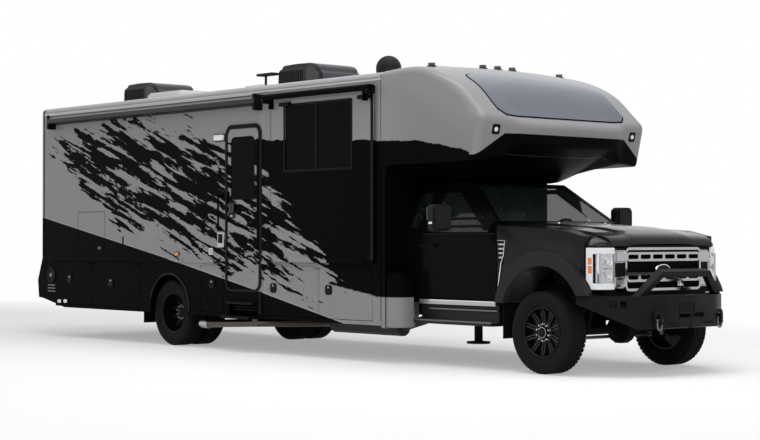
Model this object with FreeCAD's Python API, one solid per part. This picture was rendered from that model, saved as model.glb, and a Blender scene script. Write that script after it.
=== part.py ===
import FreeCAD, Part
import math
import os

from FreeCAD import Vector

# Motorhome on a medium truck chassis, in millimetres.
# Sizes are measured from the front axle: X forward, Y to the left, Z up from the ground.
# The export moves X so that the origin lies under the middle of the vehicle.

# Wheels and axles
wheel_base = 6275.0
tyre_radius = 417.5
tyre_width = 245.0
bead_radius = 247.0
tyre_shoulder_drop = 16.0
tyre_shoulder_width = 26.0
tyre_bulge = 60.0
tyre_bead_width = 190.0
tyre_bead_height = 22.0
wheel_sides = 24
bead_clearance = 0.3
front_wheel_y = 950.0
dual_outer_y = 1090.0
dual_inner_y = 770.0
kingpin_y = 800.0
kingpin_radius = 15.0
kingpin_clearance = 0.3
knuckle_radius = 36.0
knuckle_half_height = 84.0
yoke_gap = 1.0
yoke_ear = 26.0
yoke_radius = 46.0
spindle_radius = 38.0
spindle_clearance = 0.3
axle_tube_radius = 48.0
rear_tube_radius = 66.0
rear_spindle_radius = 52.0
diff_radius = 150.0
diff_length = 210.0
front_diff_y = 160.0
steer_arm_length = 150.0
steer_arm_width = 34.0
steer_arm_thickness = 22.0
steer_arm_z = 372.0
tie_rod_radius = 17.0
tie_rod_gap = 6.0
tie_rod_lug = 4.0
spring_seat_y = 505.0
spring_radius = 50.0
shock_x = 205.0
shock_y = 500.0
shock_radius = 28.0
leaf_half_length = 720.0
leaf_width = 76.0
leaf_thickness = 60.0
leaf_y = 476.0

# Rims
rim_wall = 12.0
disc_thickness = 16.0
front_dish = 52.0
rear_dish = 86.0
hand_holes = 10
hand_hole_inner = 128.0
hand_hole_outer = 188.0
hand_hole_width = 40.0
hub_radius = 92.0
hub_face_radius = 70.0
hub_length = 62.0
hub_cap_radius = 46.0
hub_sides = 12

# Frame, driveline and what hangs under them
rail_outer_y = 434.0
rail_flange = 66.0
rail_web = 12.0
rail_bottom = 660.0
rail_top = 860.0
rail_front = 480.0
cross_member_width = 90.0
cross_member_depth = 80.0
engine_front = 400.0
engine_rear = -520.0
engine_half_width = 310.0
engine_top = 1290.0
engine_mount_length = 120.0
engine_mount_height = 60.0
gearbox_rear = -1380.0
gearbox_half_width = 165.0
gearbox_top = 860.0
shaft_radius = 42.0
shaft_joint_radius = 58.0
shaft_seat = 5.0
shaft_joint_length = 90.0
hanger_width = 60.0
tank_front = -4450.0
tank_rear = -5480.0
tank_inner_y = 450.0
tank_outer_y = 940.0
tank_bottom = 440.0
tank_top = 840.0
tank_round = 70.0
tank_strap_width = 60.0
pipe_radius = 48.0
pipe_wall = 5.0
bore_start_share = 0.1
pipe_tip_x = -5665.0
pipe_front_x = -4560.0
pipe_y = -1170.0
pipe_tip_z = 300.0
pipe_front_z = 350.0
pipe_inner_x = -4060.0
pipe_inner_y = -470.0
muffler_radius = 105.0
muffler_front = -2700.0
muffler_rear = -3900.0
jack_x_share = (-0.2235, -1.133)
jack_y = 550.0
jack_radius = 45.0
jack_foot_radius = 125.0
jack_foot_z = 225.0
jack_foot_thickness = 22.0
receiver_outer = 76.0
receiver_inner = 51.5
receiver_length = 320.0
receiver_pin_radius = 8.2
receiver_pin_setback = 65.0
receiver_z = 470.0

# Coach body
coach_half_width = 1275.0
coach_front = -2170.0
coach_rear = -9343.0
rear_end = -9511.0
wall = 45.0
floor_top = 1082.0
floor_thickness = 42.0
wall_top = 3090.0
roof_rise = 82.0
roof_edge_inset = 78.0
roof_crown = 48.0
roof_wall = 60.0
skirt_bottom = 410.0
skirt_wall = 30.0
rail_moulding_proud = 12.0
rail_moulding_low = 1056.0
rail_moulding_high = 1074.0
arch_radius = 430.0
arch_z = 476.0
arch_x_offset = 40.0
arch_lip = 14.0
arch_lip_proud = 8.0
arch_sides = 36
bay_inner_y = 605.0
bay_wall = 15.0
bay_floor_z = 440.0
floor_beam_width = 60.0
floor_beam_share = (0.045, 0.16, 0.27, 0.38, 0.52, 0.66, 0.80, 0.93)

# Entry door and its steps
entry_rear = -4993.0
entry_front = -4370.0
entry_top = 2678.0
entry_bottom = 745.0
entry_corner = 70.0
entry_gap = 6.0
entry_thickness = 40.0
entry_window_rear = -4930.0
entry_window_front = -4450.0
entry_window_low = 1820.0
entry_window_high = 2577.0
entry_trim = 26.0
entry_trim_proud = 6.0
entry_hinge_radius = 8.0
entry_hinge_leaf = 16.0
step_well_depth = 480.0
step_low_z = 430.0
step_high_z = 600.0
step_depth = 250.0
step_thickness = 30.0
step_inset = 40.0
handle_x = -5100.0
handle_low = 1460.0
handle_high = 1870.0
handle_radius = 12.0
handle_stand_off = 62.0

# Slide-out room
slide_rear = -4093.0
slide_front = -2285.0
slide_top = 2950.0
slide_flange = 38.0
slide_flange_thickness = 25.0
slide_flange_gap = 5.0
slide_clearance = 10.0
slide_depth = 650.0
slide_wall = 32.0
slide_window_rear = -3825.0
slide_window_front = -2641.0
slide_window_low = 2145.0
slide_window_high = 2886.0
slide_rail_proud = 14.0
slide_rail_height = 62.0
topper_radius = 34.0
topper_z = 3000.0
topper_stand_off = 78.0
topper_overhang = 60.0
topper_bracket = 26.0
topper_bracket_height = 90.0

# Windows and glass
pane = 6.0
pane_inset = 8.0
bed_window_share = (0.80, 0.91)
galley_window_share = (0.34, 0.50)
window_low = 1850.0
window_high = 2560.0
window_corner = 60.0

# Baggage doors: spans from the rear wall forward, right side then left side
right_bay_spans = ((-9060.0, -8080.0), (-8030.0, -6900.0), (-5560.0, -5070.0), (-4282.0, -3252.0),
                   (-3240.0, -2310.0))
left_bay_spans = ((-9060.0, -7900.0), (-4282.0, -2310.0))
bay_door_low = 452.0
bay_door_high = 1022.0
bay_door_gap = 6.0
bay_door_thickness = 26.0
bay_door_corner = 25.0
bay_hinge_radius = 6.0
bay_hinge_rise = 8.0
bay_hinge_leaf = 24.0

# Over-cab nose: side points, then how the middle differs
nose_top_x = -1700.0
nose_top_z = 3190.0
nose_shoulder_x = -1378.0
nose_shoulder_z = 3124.0
nose_slope_x = -1011.0
nose_slope_z = 2960.0
nose_brow_x = -741.0
nose_brow_z = 2731.0
nose_ridge_x = -601.0
nose_ridge_z = 2600.0
nose_lip_x = -706.0
nose_lip_z = 2226.0
nose_bottom_z = 2220.0
nose_mid_ridge_x = -540.0
nose_mid_ridge_z = 2535.0
nose_mid_lip_x = -585.0
nose_mid_lip_z = 2405.0
nose_header_x = -1330.0
nose_header_z = 1968.0
nose_inner_share = 0.7294
nose_keel_share = 0.5961
nose_edge_steps = 3
nose_corner_pull = 70.0
nose_leg_x = -2100.0
nose_leg_radius = 200.0
nose_leg_bottom = 385.0
nose_leg_inner_y = 830.0
nose_wall = 55.0
nose_edge_drop = 74.0
nose_glass_low_x = -775.0
nose_glass_high_x = -1370.0
nose_glass_low_y = 960.0
nose_glass_high_y = 880.0
nose_glass_proud = 6.0
marker_x = -1660.0
marker_radius = 38.0
marker_height = 34.0
marker_y = (-1000.0, -230.0, 0.0, 230.0, 1000.0)
dock_lamp_size = 74.0

# Cab
cab_front = -640.0
cab_bottom = 665.0
cab_half_width = 1000.0
cab_sill_half_width = 965.0
cab_sill_z = 740.0
cab_shoulder_z = 1215.0
belt_z = 1410.0
belt_half_width = 984.0
cab_roof_z = 1955.0
cab_roof_half_width = 722.0
cowl_z = 1515.0
screen_base_side_x = -730.0
screen_base_mid_x = -620.0
screen_top_side_x = -1375.0
screen_steps = 8
cab_skin = 96.0
cab_frame = 48.0
cab_floor_z = 868.0
cab_floor_thickness = 42.0
firewall = 40.0
screen_low_z = 1540.0
screen_high_z = 1925.0
screen_low_y = 872.0
screen_high_y = 668.0
door_front = -683.0
door_rear = -1867.0
door_low = 715.0
door_top = 1915.0
door_top_rear_x = -1752.0
door_gap = 6.0
door_frame = 58.0
door_lip = 16.0
door_step = 13.0
door_hinge_low = 900.0
door_hinge_high = 1290.0
door_hinge_height = 80.0
door_glass_low = 1425.0
quarter_rear = -2060.0
door_handle_rear = -1815.0
door_handle_front = -1595.0
door_handle_z = 1283.0
door_handle_height = 26.0
door_handle_proud = 40.0
mirror_rear = -1150.0
mirror_front = -1010.0
mirror_inner_y = 1262.0
mirror_outer_y = 1595.0
mirror_low = 1440.0
mirror_high = 1710.0
mirror_arm_x = -800.0
mirror_arm_radius = 15.0
mirror_arm_low = 1480.0
mirror_arm_high = 1560.0
mirror_sail = 70.0

# Front end
hood_rear = -634.0
hood_front = 690.0
hood_half_width = 792.0
hood_wall = 22.0
hood_edge_rear_z = 1492.0
hood_edge_mid_z = 1440.0
hood_edge_front_z = 1380.0
hood_nose_z = 1300.0
hood_nose_drop_x = 600.0
hood_crown = 42.0
hood_dome_y = 430.0
hood_gap = 6.0
hood_stop_length = 90.0
hood_stop_width = 40.0
fender_skin = 36.0
fender_inner_y = 640.0
fender_front = 520.0
fender_rear = -677.0
fender_low = 700.0
flare_proud = 80.0
flare_outer_radius = 647.0
flare_outer_z = 585.0
flare_inner_radius = 545.0
flare_inner_z = 538.0
liner = 18.0
grille_x = 700.0
grille_depth = 46.0
grille_back = 640.0
grille_half_width = 588.0
grille_low = 835.0
grille_high = 1268.0
grille_bar_low_z = 925.0
grille_bar_high_z = 1175.0
grille_bar_height = 92.0
grille_frame = 26.0
grille_slots = 6
grille_slot_height = 44.0
grille_slot_gap = 34.0
mesh_bars = 7
mesh_bar = 6.0
lamp_low = 850.0
lamp_high = 1272.0
lamp_inner_y = 594.0
lamp_turn_y = 800.0
lamp_outer_y = 986.0
lamp_rear_x = 535.0
lamp_wall = 60.0
lamp_recess = 20.0
lamp_band = 58.0
radiator_front = 590.0
radiator_rear = 500.0
radiator_half_width = 350.0
radiator_high = 1255.0

# Front bumper and its hoop
bumper_front = 1048.0
bumper_mid_y = 380.0
bumper_bend_x = 905.0
bumper_bend_y = 660.0
bumper_end_x = 455.0
bumper_end_y = 1045.0
bumper_top = 792.0
bumper_low = 470.0
bumper_end_low = 715.0
bumper_wall = 40.0
bumper_bevel = 34.0
port_size = 62.0
port_share = (0.34, 0.62)
slot_height = 44.0
slot_half_width = 190.0
slot_z = 600.0
hoop_foot_y = 668.0
hoop_top_y = 372.0
hoop_height = 285.0
hoop_band = 62.0
hoop_depth = 78.0
hoop_x = 868.0
hoop_lean = 18.0
shackle_y = 470.0
shackle_radius = 15.0
shackle_plate = 34.0
shackle_reach = 44.0
shackle_height = 90.0
shackle_z = 560.0

# Cab inside, boards, flaps and patio awning
seat_x = -1480.0
seat_y = 400.0
seat_width = 520.0
seat_depth = 500.0
seat_height = 430.0
seat_back = 150.0
seat_back_top = 1680.0
dash_front = -700.0
dash_rear = -960.0
dash_low = 1150.0
dash_top = 1490.0
dash_half_width = 860.0
steering_wheel_radius = 190.0
steering_wheel_rim = 16.0
steering_wheel_x = -1085.0
steering_wheel_z = 1395.0
steering_wheel_tilt = 62.0
column_radius = 30.0
board_rear = -1880.0
board_front = -700.0
board_inner_y = 900.0
board_outer_y = 1062.0
board_low = 448.0
board_high = 494.0
board_bracket = 40.0
board_back = 12.0
flap_thickness = 12.0
front_flap_x = -575.0
front_flap_low = 330.0
rear_flap_x = -6850.0
rear_flap_low = 270.0
awning_rear = -9070.0
awning_front = -4300.0
awning_low = 2930.0
awning_high = 3062.0
awning_proud = 122.0
awning_arm = 42.0

# Roof equipment
ac_length = 1400.0
ac_width = 720.0
ac_height = 330.0
ac_front_x = -3850.0
ac_rear_x = -7400.0
ac_nose = 620.0
ac_shoulder = 110.0
ac_front_share = 0.55
dome_x = -3150.0
dome_y = -300.0
dome_radius = 165.0
dome_height = 290.0
dome_shares = ((0.88, 0), (1, 0.42), (0.96, 0.62), (0.82, 0.82), (0.56, 0.95), (0, 1))
vent_x_share = (0.07, 0.52)
vent_size = 420.0
vent_height = 95.0
skylight_front = -6900.0
skylight_length = 850.0
skylight_y = -380.0
skylight_width = 560.0
antenna_x = -5470.0
antenna_y = -300.0
antenna_length = 340.0
antenna_rise = 180.0
antenna_bar = 34.0

# Rear end
rear_cap_low = 520.0
rear_cap_bulge_z = 774.0
rear_bumper_inset = 30.0
tail_lamp_inset = 215.0
tail_lamp_width = 130.0
tail_lamp_low = 1180.0
tail_lamp_high = 1620.0
tail_lamp_proud = 22.0
overrun = 60.0
seat_gap = 0.3
small_sides = 8
fine = 0.001
corner_steps = 2

roof_edge_z = wall_top + roof_rise
right = -1
left = 1
parts = {}


def box(x0, x1, y0, y1, z0, z1):
    low = Vector(min(x0, x1), min(y0, y1), min(z0, z1))
    return Part.makeBox(abs(x1 - x0), abs(y1 - y0), abs(z1 - z0), low)


def face(points):
    return Part.Face(Part.makePolygon(points + points[:1]))


def prism_y(points, y0, y1):
    """A side outline, points of (x, z), drawn out along Y."""
    flat = face([Vector(x, y0, z) for x, z in points])
    return flat.extrude(Vector(0, y1 - y0, 0))


def prism_x(points, x0, x1):
    """A front outline, points of (y, z), drawn out along X."""
    flat = face([Vector(x0, y, z) for y, z in points])
    return flat.extrude(Vector(x1 - x0, 0, 0))


def prism_z(points, z0, z1):
    """A plan outline, points of (x, y), drawn out along Z."""
    flat = face([Vector(x, y, z0) for x, y in points])
    return flat.extrude(Vector(0, 0, z1 - z0))


def shrink(points, y, gap):
    """A side outline as a face at y, moved in by gap all round."""
    flat = face([Vector(x, y, z) for x, z in points])
    return flat.makeOffset2D(-gap) if gap else flat


def rod(radius, start, end):
    line = Vector(*end) - Vector(*start)
    return Part.makeCylinder(radius, line.Length, Vector(*start), line)


def placed(shape, start, along):
    shape.Placement = FreeCAD.Placement(Vector(*start), FreeCAD.Rotation(Vector(0, 0, 1), along))
    return shape


def ring(radius, z, sides):
    """The corners of a flat-sided ring; radius is the distance from its axis to its flats."""
    if radius == 0:
        return [Vector(0, 0, z)] * sides
    reach = radius / math.cos(math.pi / sides)
    turns = [2 * math.pi * (step + 0.5) / sides for step in range(sides)]
    return [Vector(reach * math.cos(turn), reach * math.sin(turn), z) for turn in turns]


def skinned(rings, closed):
    """A solid whose skin joins rings of corners in turn, with flat faces."""
    following = rings[1:] + rings[:1] if closed else rings[1:]
    faces = [] if closed else [face(rings[0]), face(rings[-1])]
    for near, far in zip(rings, following):
        for step in range(len(near)):
            after = (step + 1) % len(near)
            faces.extend(flat_pieces([near[step], far[step], far[after], near[after]]))
    solid = Part.Solid(Part.makeShell(faces))
    if solid.Volume < 0:
        solid.reverse()
    return solid


def flat_pieces(corners):
    """One face if the four corners lie in a plane, two if not, none if they fall together."""
    points = []
    for corner in corners:
        if all(corner.distanceToPoint(other) > fine for other in points):
            points.append(corner)
    if len(points) < 3:
        return []
    if len(points) == 3:
        return [face(points)]
    normal = (points[1] - points[0]).cross(points[2] - points[0])
    if normal.Length > 0 and abs((points[3] - points[0]).dot(normal)) < fine * normal.Length:
        return [face(points)]
    return [face(points[:3]), face([points[0], points[2], points[3]])]


def spun(profile, sides, start, along):
    """A closed profile of (distance, radius) carried round a line in flat-sided steps."""
    solid = skinned([ring(radius, z, sides) for z, radius in profile], True)
    return placed(solid.removeSplitter(), start, along)


def bar(radius, start, end, sides):
    line = Vector(*end) - Vector(*start)
    flat = face(ring(radius, 0, sides)).extrude(Vector(0, 0, line.Length))
    return placed(flat, start, line)


def flipped(shape):
    return shape.mirror(Vector(0, 0, 0), Vector(0, 1, 0))


def joined(solids):
    first = solids[0]
    return first.fuse(list(solids[1:])).removeSplitter() if len(solids) > 1 else first


def rounded_corners(a0, a1, b0, b1, radius):
    """A rectangle's outline whose corners turn in short steps."""
    points = []
    for a, b, start in ((a1 - radius, b1 - radius, 0), (a0 + radius, b1 - radius, 1),
                        (a0 + radius, b0 + radius, 2), (a1 - radius, b0 + radius, 3)):
        for step in range(corner_steps + 1):
            turn = math.pi / 2 * (start + step / corner_steps)
            points.append((a + radius * math.cos(turn), b + radius * math.sin(turn)))
    return points


def rounded_slab(x0, x1, z0, z1, radius, y0, y1):
    return prism_y(rounded_corners(x0, x1, z0, z1, radius), y0, y1)


def rounded_slab_x(x0, x1, y0, y1, z0, z1, radius):
    return prism_x(rounded_corners(y0, y1, z0, z1, radius), x0, x1)


def keep(name, shape):
    parts[name] = shape if isinstance(shape, list) else [shape]


# Wheels

def tyre(y, side):
    half = tyre_width / 2
    shoulder = half - tyre_shoulder_width
    tread = tyre_radius - tyre_shoulder_drop
    bead = tyre_bead_width / 2
    bore = bead_radius + bead_clearance
    profile = [(-shoulder, tyre_radius), (shoulder, tyre_radius), (half, tread), (half, tread - tyre_bulge),
               (bead, bore + tyre_bead_height), (bead, bore), (-bead, bore),
               (-bead, bore + tyre_bead_height), (-half, tread - tyre_bulge), (-half, tread)]
    return spun(profile, wheel_sides, (0, y * side, tyre_radius), Vector(0, 1, 0))


def rim(y, side, dish, toward):
    """A rim whose disc stands dish away from the wheel's middle, on the side named by toward."""
    half = tyre_bead_width / 2
    inner = bead_radius - rim_wall
    out = side * toward
    disc_out = out * dish
    disc_in = out * (dish - disc_thickness)
    profile = [(-half * out, bead_radius), (half * out, bead_radius), (half * out, inner),
               (disc_out, inner), (disc_out, hub_face_radius), (disc_in, hub_face_radius),
               (disc_in, inner), (-half * out, inner)]
    return spun(profile, wheel_sides, (0, y * side, tyre_radius), Vector(0, 1, 0))


def holed(solid, y, side, dish, toward):
    """The same rim with hand holes through its disc."""
    middle = y * side + side * toward * (dish - disc_thickness / 2)
    hole = box(-hand_hole_width / 2, hand_hole_width / 2, middle - disc_thickness, middle + disc_thickness,
               tyre_radius + hand_hole_inner, tyre_radius + hand_hole_outer)
    cuts = []
    for step in range(hand_holes):
        cut = hole.copy()
        cut.rotate(Vector(0, 0, tyre_radius), Vector(0, 1, 0), step * 360 / hand_holes)
        cuts.append(cut)
    return solid.cut(cuts)


def hub(y, side, bore, start, end):
    """A hub barrel from start to end outward of y, with a blind bore for the spindle."""
    near = start
    step = end - disc_thickness
    bottom = step - disc_thickness
    profile = [(near, 0), (near, hub_radius), (end - hub_length, hub_radius),
               (end - hub_length, hub_face_radius), (step, hub_face_radius),
               (step, hub_cap_radius), (end, hub_cap_radius), (end, 0)]
    solid = spun(profile, hub_sides, (0, y * side, tyre_radius), Vector(0, side, 0))
    clear = bore + spindle_clearance
    return solid.cut(rod(clear, (0, side * (y + near - overrun), tyre_radius),
                         (0, side * (y + bottom), tyre_radius)))


def front_wheel(side):
    disc = front_dish - disc_thickness
    barrel = hub(front_wheel_y, side, spindle_radius, disc - hub_radius, front_dish + hub_length)
    shell = holed(rim(front_wheel_y, side, front_dish, 1), front_wheel_y, side, front_dish, 1)
    return shell.fuse(barrel).removeSplitter()


def rear_wheel(side):
    outer = holed(rim(dual_outer_y, side, rear_dish, -1), dual_outer_y, side, rear_dish, -1)
    inner = rim(dual_inner_y, side, rear_dish, 1)
    near = dual_inner_y - hub_radius
    barrel = hub(near, side, rear_spindle_radius, 0, dual_outer_y - near)
    return barrel.fuse([outer, inner]).removeSplitter()


def at_rear_axle(shape):
    shape.translate(Vector(-wheel_base, 0, 0))
    return shape


def wheels():
    for side, word in ((right, "right"), (left, "left")):
        keep("front_tyre_" + word, tyre(front_wheel_y, side))
        keep("front_rim_" + word, front_wheel(side))
        keep("rear_tyres_" + word, [at_rear_axle(tyre(dual_outer_y, side)),
                                    at_rear_axle(tyre(dual_inner_y, side))])
        keep("rear_rims_" + word, at_rear_axle(rear_wheel(side)))


# Axles, knuckles and steering

def knuckle(side):
    y = side * kingpin_y
    z = tyre_radius
    barrel = bar(knuckle_radius, (0, y, z - knuckle_half_height), (0, y, z + knuckle_half_height),
                 small_sides)
    pin = knuckle_half_height + yoke_ear
    kingpin = rod(kingpin_radius, (0, y, z - pin), (0, y, z + pin))
    tip = front_wheel_y + front_dish
    spindle = rod(spindle_radius, (0, y, z), (0, side * tip, z))
    arm = box(-steer_arm_length - steer_arm_width / 2, 0, y - steer_arm_width / 2, y + steer_arm_width / 2,
              steer_arm_z - steer_arm_thickness, steer_arm_z)
    return joined([barrel, kingpin, spindle, arm])


def tie_rod():
    half = tie_rod_radius + tie_rod_lug
    z = steer_arm_z - steer_arm_thickness - seat_gap - half
    middle = bar(tie_rod_radius, (-steer_arm_length, -kingpin_y, z), (-steer_arm_length, kingpin_y, z),
                 small_sides)
    ends = []
    for side in (right, left):
        low = (-steer_arm_length, side * kingpin_y, z - half)
        high = (-steer_arm_length, side * kingpin_y, z + half)
        ends.append(bar(steer_arm_width / 2 + tie_rod_gap, low, high, small_sides))
    return joined([middle] + ends)


def yoke(side):
    y = side * kingpin_y
    z = tyre_radius
    ears = []
    low = knuckle_half_height + yoke_gap
    for way in (-1, 1):
        ear = bar(yoke_radius, (0, y, z + way * low), (0, y, z + way * (low + yoke_ear)), small_sides)
        ears.append(ear)
    back_y = kingpin_y - yoke_radius - yoke_ear
    high = low + yoke_ear
    back = box(-yoke_radius, yoke_radius, side * (back_y - yoke_ear), side * back_y, z - high, z + high)
    solids = [back]
    for ear, way in zip(ears, (-1, 1)):
        z0 = z + way * low
        z1 = z + way * high
        solids.append(box(-yoke_radius, yoke_radius, side * back_y, y, z0, z1))
        solids.append(ear)
    whole = joined(solids)
    hole = rod(kingpin_radius + kingpin_clearance, (0, y, z - high - overrun), (0, y, z + high + overrun))
    return whole.cut(hole)


def differential(y, z):
    half = diff_length / 2
    profile = [(-half, 0), (-half, axle_tube_radius), (-half / 2, diff_radius), (half / 2, diff_radius),
               (half, axle_tube_radius), (half, 0)]
    return spun(profile, hub_sides, (0, y, z), Vector(0, 1, 0))


def front_axle():
    z = tyre_radius
    inner = kingpin_y - yoke_radius - yoke_ear - yoke_ear / 2
    tube = bar(axle_tube_radius, (0, -inner, z), (0, inner, z), small_sides)
    case = differential(front_diff_y, z)
    solids = [tube, case, yoke(right), yoke(left)]
    for side in (right, left):
        y = side * spring_seat_y
        solids.append(bar(spring_radius, (0, y, z), (0, y, rail_top - rail_flange), small_sides))
        top = (shock_x, side * shock_y, rail_top - rail_flange)
        solids.append(bar(shock_radius, (shock_x / 2, side * shock_y, z), top, small_sides))
        solids.append(box(0, shock_x / 2, y - shock_radius, y + shock_radius, z - shock_radius,
                          z + shock_radius))
        near = rail_outer_y
        far = spring_seat_y + spring_radius
        solids.append(box(-spring_radius, shock_x + shock_radius, side * near, side * far,
                          rail_top - rail_flange, rail_top))
    return joined(solids)


def rear_axle():
    z = tyre_radius
    seat = dual_inner_y - hub_radius - tyre_shoulder_drop
    solids = [bar(rear_tube_radius, (0, -seat, z), (0, seat, z), small_sides)]
    tip = dual_outer_y - disc_thickness * 2 - spindle_clearance
    solids.append(rod(rear_spindle_radius, (0, -tip, z), (0, tip, z)))
    solids.append(differential(0, z))
    nose = diff_radius + shaft_joint_length
    solids.append(bar(shaft_joint_radius, (0, 0, z), (nose, 0, z), small_sides))
    for side in (right, left):
        y = side * leaf_y
        top = z + rear_tube_radius
        rise = rail_bottom - top - leaf_thickness
        pack = [(-leaf_half_length, top + rise), (-leaf_half_length / 2, top + rise / 3),
                (-leaf_width, top), (leaf_width, top),
                (leaf_half_length / 2, top + rise / 3), (leaf_half_length, top + rise),
                (leaf_half_length, top + rise + leaf_thickness), (0, top + leaf_thickness * 2),
                (-leaf_half_length, top + rise + leaf_thickness)]
        solids.append(prism_y(pack, y - leaf_width / 2, y + leaf_width / 2))
        solids.append(box(-leaf_width, leaf_width, y - leaf_width / 2, y + leaf_width / 2, z, top))
        for end in (-leaf_half_length, leaf_half_length - leaf_thickness):
            solids.append(box(end, end + leaf_thickness, side * (leaf_y - leaf_width / 2),
                              side * rail_outer_y, rail_bottom - leaf_thickness,
                              rail_bottom + leaf_thickness))
    return at_rear_axle(joined(solids))


def axles():
    keep("front_axle", front_axle())
    keep("rear_axle", [rear_axle(), drive_shaft()])
    keep("knuckle_right", knuckle(right))
    keep("knuckle_left", knuckle(left))
    keep("tie_rod", tie_rod())


# Frame and driveline

def rail(side):
    outer = side * rail_outer_y
    inner = side * (rail_outer_y - rail_flange)
    web = side * (rail_outer_y - rail_web)
    rear = coach_rear + wall
    solids = [box(rear, rail_front, outer, web, rail_bottom, rail_top),
              box(rear, rail_front, outer, inner, rail_bottom, rail_bottom + rail_web),
              box(rear, rail_front, outer, inner, rail_top - rail_web, rail_top)]
    return solids


def frame_stations():
    places = [tank_front + cross_member_width, -wheel_base - leaf_half_length, -wheel_base + leaf_half_length,
              coach_rear + wall + cross_member_width]
    return places + [gearbox_rear + cross_member_width, rail_front - cross_member_width / 2]


def receiver():
    """The square tube for a tow bar, with the arms and hangers that carry it under the frame."""
    rear = coach_rear - (coach_rear - rear_end) / 2
    half = receiver_outer / 2
    tube = box(rear, rear + receiver_length, -half, half, receiver_z - half, receiver_z + half)
    bore = receiver_inner / 2
    tube = tube.cut(box(rear - overrun, rear + receiver_length - receiver_outer, -bore, bore,
                        receiver_z - bore, receiver_z + bore))
    pin_x = rear + receiver_pin_setback
    tube = tube.cut(rod(receiver_pin_radius, (pin_x, -receiver_outer, receiver_z),
                        (pin_x, receiver_outer, receiver_z)))
    solids = [tube]
    hang_x = rear + receiver_length - receiver_outer
    for side in (right, left):
        solids.append(box(hang_x, hang_x + receiver_outer, side * half, side * rail_outer_y,
                          receiver_z - half, receiver_z + half))
        solids.append(box(hang_x, hang_x + receiver_outer, side * rail_outer_y,
                          side * (rail_outer_y - rail_web), receiver_z + half, rail_bottom))
    return solids


def jacks():
    solids = []
    for x in [wheel_base * share for share in jack_x_share]:
        for side in (right, left):
            y = side * jack_y
            top = jack_foot_z + jack_foot_thickness
            leg = bar(jack_radius, (x, y, top), (x, y, rail_top), small_sides)
            stay = box(x - jack_radius, x + jack_radius, y, side * rail_outer_y, rail_bottom, rail_top)
            solids.append(joined([leg, stay]))
            solids.append(bar(jack_foot_radius, (x, y, jack_foot_z), (x, y, top), small_sides))
    return solids


def chassis():
    solids = [joined(rail(right)), joined(rail(left))] + jacks()
    inner = rail_outer_y - rail_web
    for x in frame_stations():
        solids.append(box(x - cross_member_width / 2, x + cross_member_width / 2, -inner, inner,
                          rail_bottom + rail_web, rail_bottom + cross_member_depth))
    keep("chassis_frame", solids)
    keep("hitch_receiver", receiver())
    keep("engine_block", engine())
    keep("fuel_tank", fuel_tank())
    keep("exhaust", exhaust())


def engine():
    block = box(engine_rear, engine_front, -engine_half_width, engine_half_width,
                rail_bottom + cross_member_depth, engine_top)
    gearbox = box(gearbox_rear, engine_rear, -gearbox_half_width, gearbox_half_width,
                  rail_bottom + cross_member_depth, gearbox_top)
    middle = (engine_front + engine_rear) / 2
    mount = box(middle - engine_mount_length / 2, middle + engine_mount_length / 2,
                -rail_outer_y + rail_web, rail_outer_y - rail_web,
                rail_top - rail_web - engine_mount_height, rail_top - rail_web)
    return joined([block, gearbox, mount])


def drive_shaft():
    z = (rail_bottom + cross_member_depth + gearbox_top) / 2
    front = (gearbox_rear - shaft_seat, 0, z)
    rear = (-wheel_base + diff_radius + shaft_joint_length + shaft_seat, 0, tyre_radius)
    line = Vector(*rear) - Vector(*front)
    solids = [bar(shaft_radius, front, rear, small_sides)]
    for share in (0, 1):
        point = Vector(*front) + line * share
        step = line * (shaft_joint_length / line.Length)
        start = point if share == 0 else point - step
        solids.append(bar(shaft_joint_radius, tuple(start), tuple(start + step), small_sides))
    return joined(solids)


def fuel_tank():
    tank = box(tank_rear, tank_front, tank_inner_y, tank_outer_y, tank_bottom, tank_top)
    edges = [e for e in tank.Edges if abs(e.tangentAt(e.FirstParameter).x) > 0.9]
    tank = tank.makeFillet(tank_round, edges)
    straps = []
    for share in (0.2, 0.8):
        x = tank_rear + (tank_front - tank_rear) * share
        straps.append(box(x, x + tank_strap_width, rail_outer_y, (tank_inner_y + tank_outer_y) / 2,
                          tank_top - rail_web / 2, tank_top + rail_web / 2))
    return joined([tank] + straps)


def exhaust():
    """The pipe from the engine through the muffler, then out to a polished, open tip."""
    tip = (pipe_tip_x, pipe_y, pipe_tip_z)
    front = (pipe_front_x, pipe_y, pipe_front_z)
    inner = (pipe_inner_x, pipe_inner_y, pipe_front_z)
    rear = (muffler_rear, pipe_inner_y, pipe_front_z)
    solids = [bar(pipe_radius, front, tip, hub_sides), bar(pipe_radius, inner, front, hub_sides),
              bar(muffler_radius, rear, (muffler_front, pipe_inner_y, pipe_front_z), hub_sides),
              bar(pipe_radius, inner, rear, hub_sides),
              bar(pipe_radius, (muffler_front, pipe_inner_y, pipe_front_z),
                  (gearbox_rear, -gearbox_half_width - pipe_radius * 1.5, rail_bottom + cross_member_depth),
                  small_sides)]
    for x, y, z in (front, inner):
        half = pipe_radius - pipe_wall / 2
        solids.append(bar(half, (x, y, z - half), (x, y, z + half), hub_sides))
    for x in (muffler_rear - hanger_width * 2, muffler_front + hanger_width):
        z = pipe_front_z
        solids.append(box(x, x + hanger_width, pipe_inner_y, -rail_outer_y, z, z + hanger_width))
        solids.append(box(x, x + hanger_width, -rail_outer_y - rail_web, -rail_outer_y, z,
                          rail_bottom + hanger_width))
    line = Vector(*tip) - Vector(*front)
    bore_start = Vector(*front) + line * bore_start_share
    bore_end = Vector(*tip) + line * bore_start_share
    return joined(solids).cut(bar(pipe_radius - pipe_wall, tuple(bore_start), tuple(bore_end), hub_sides))


# Coach body

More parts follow.
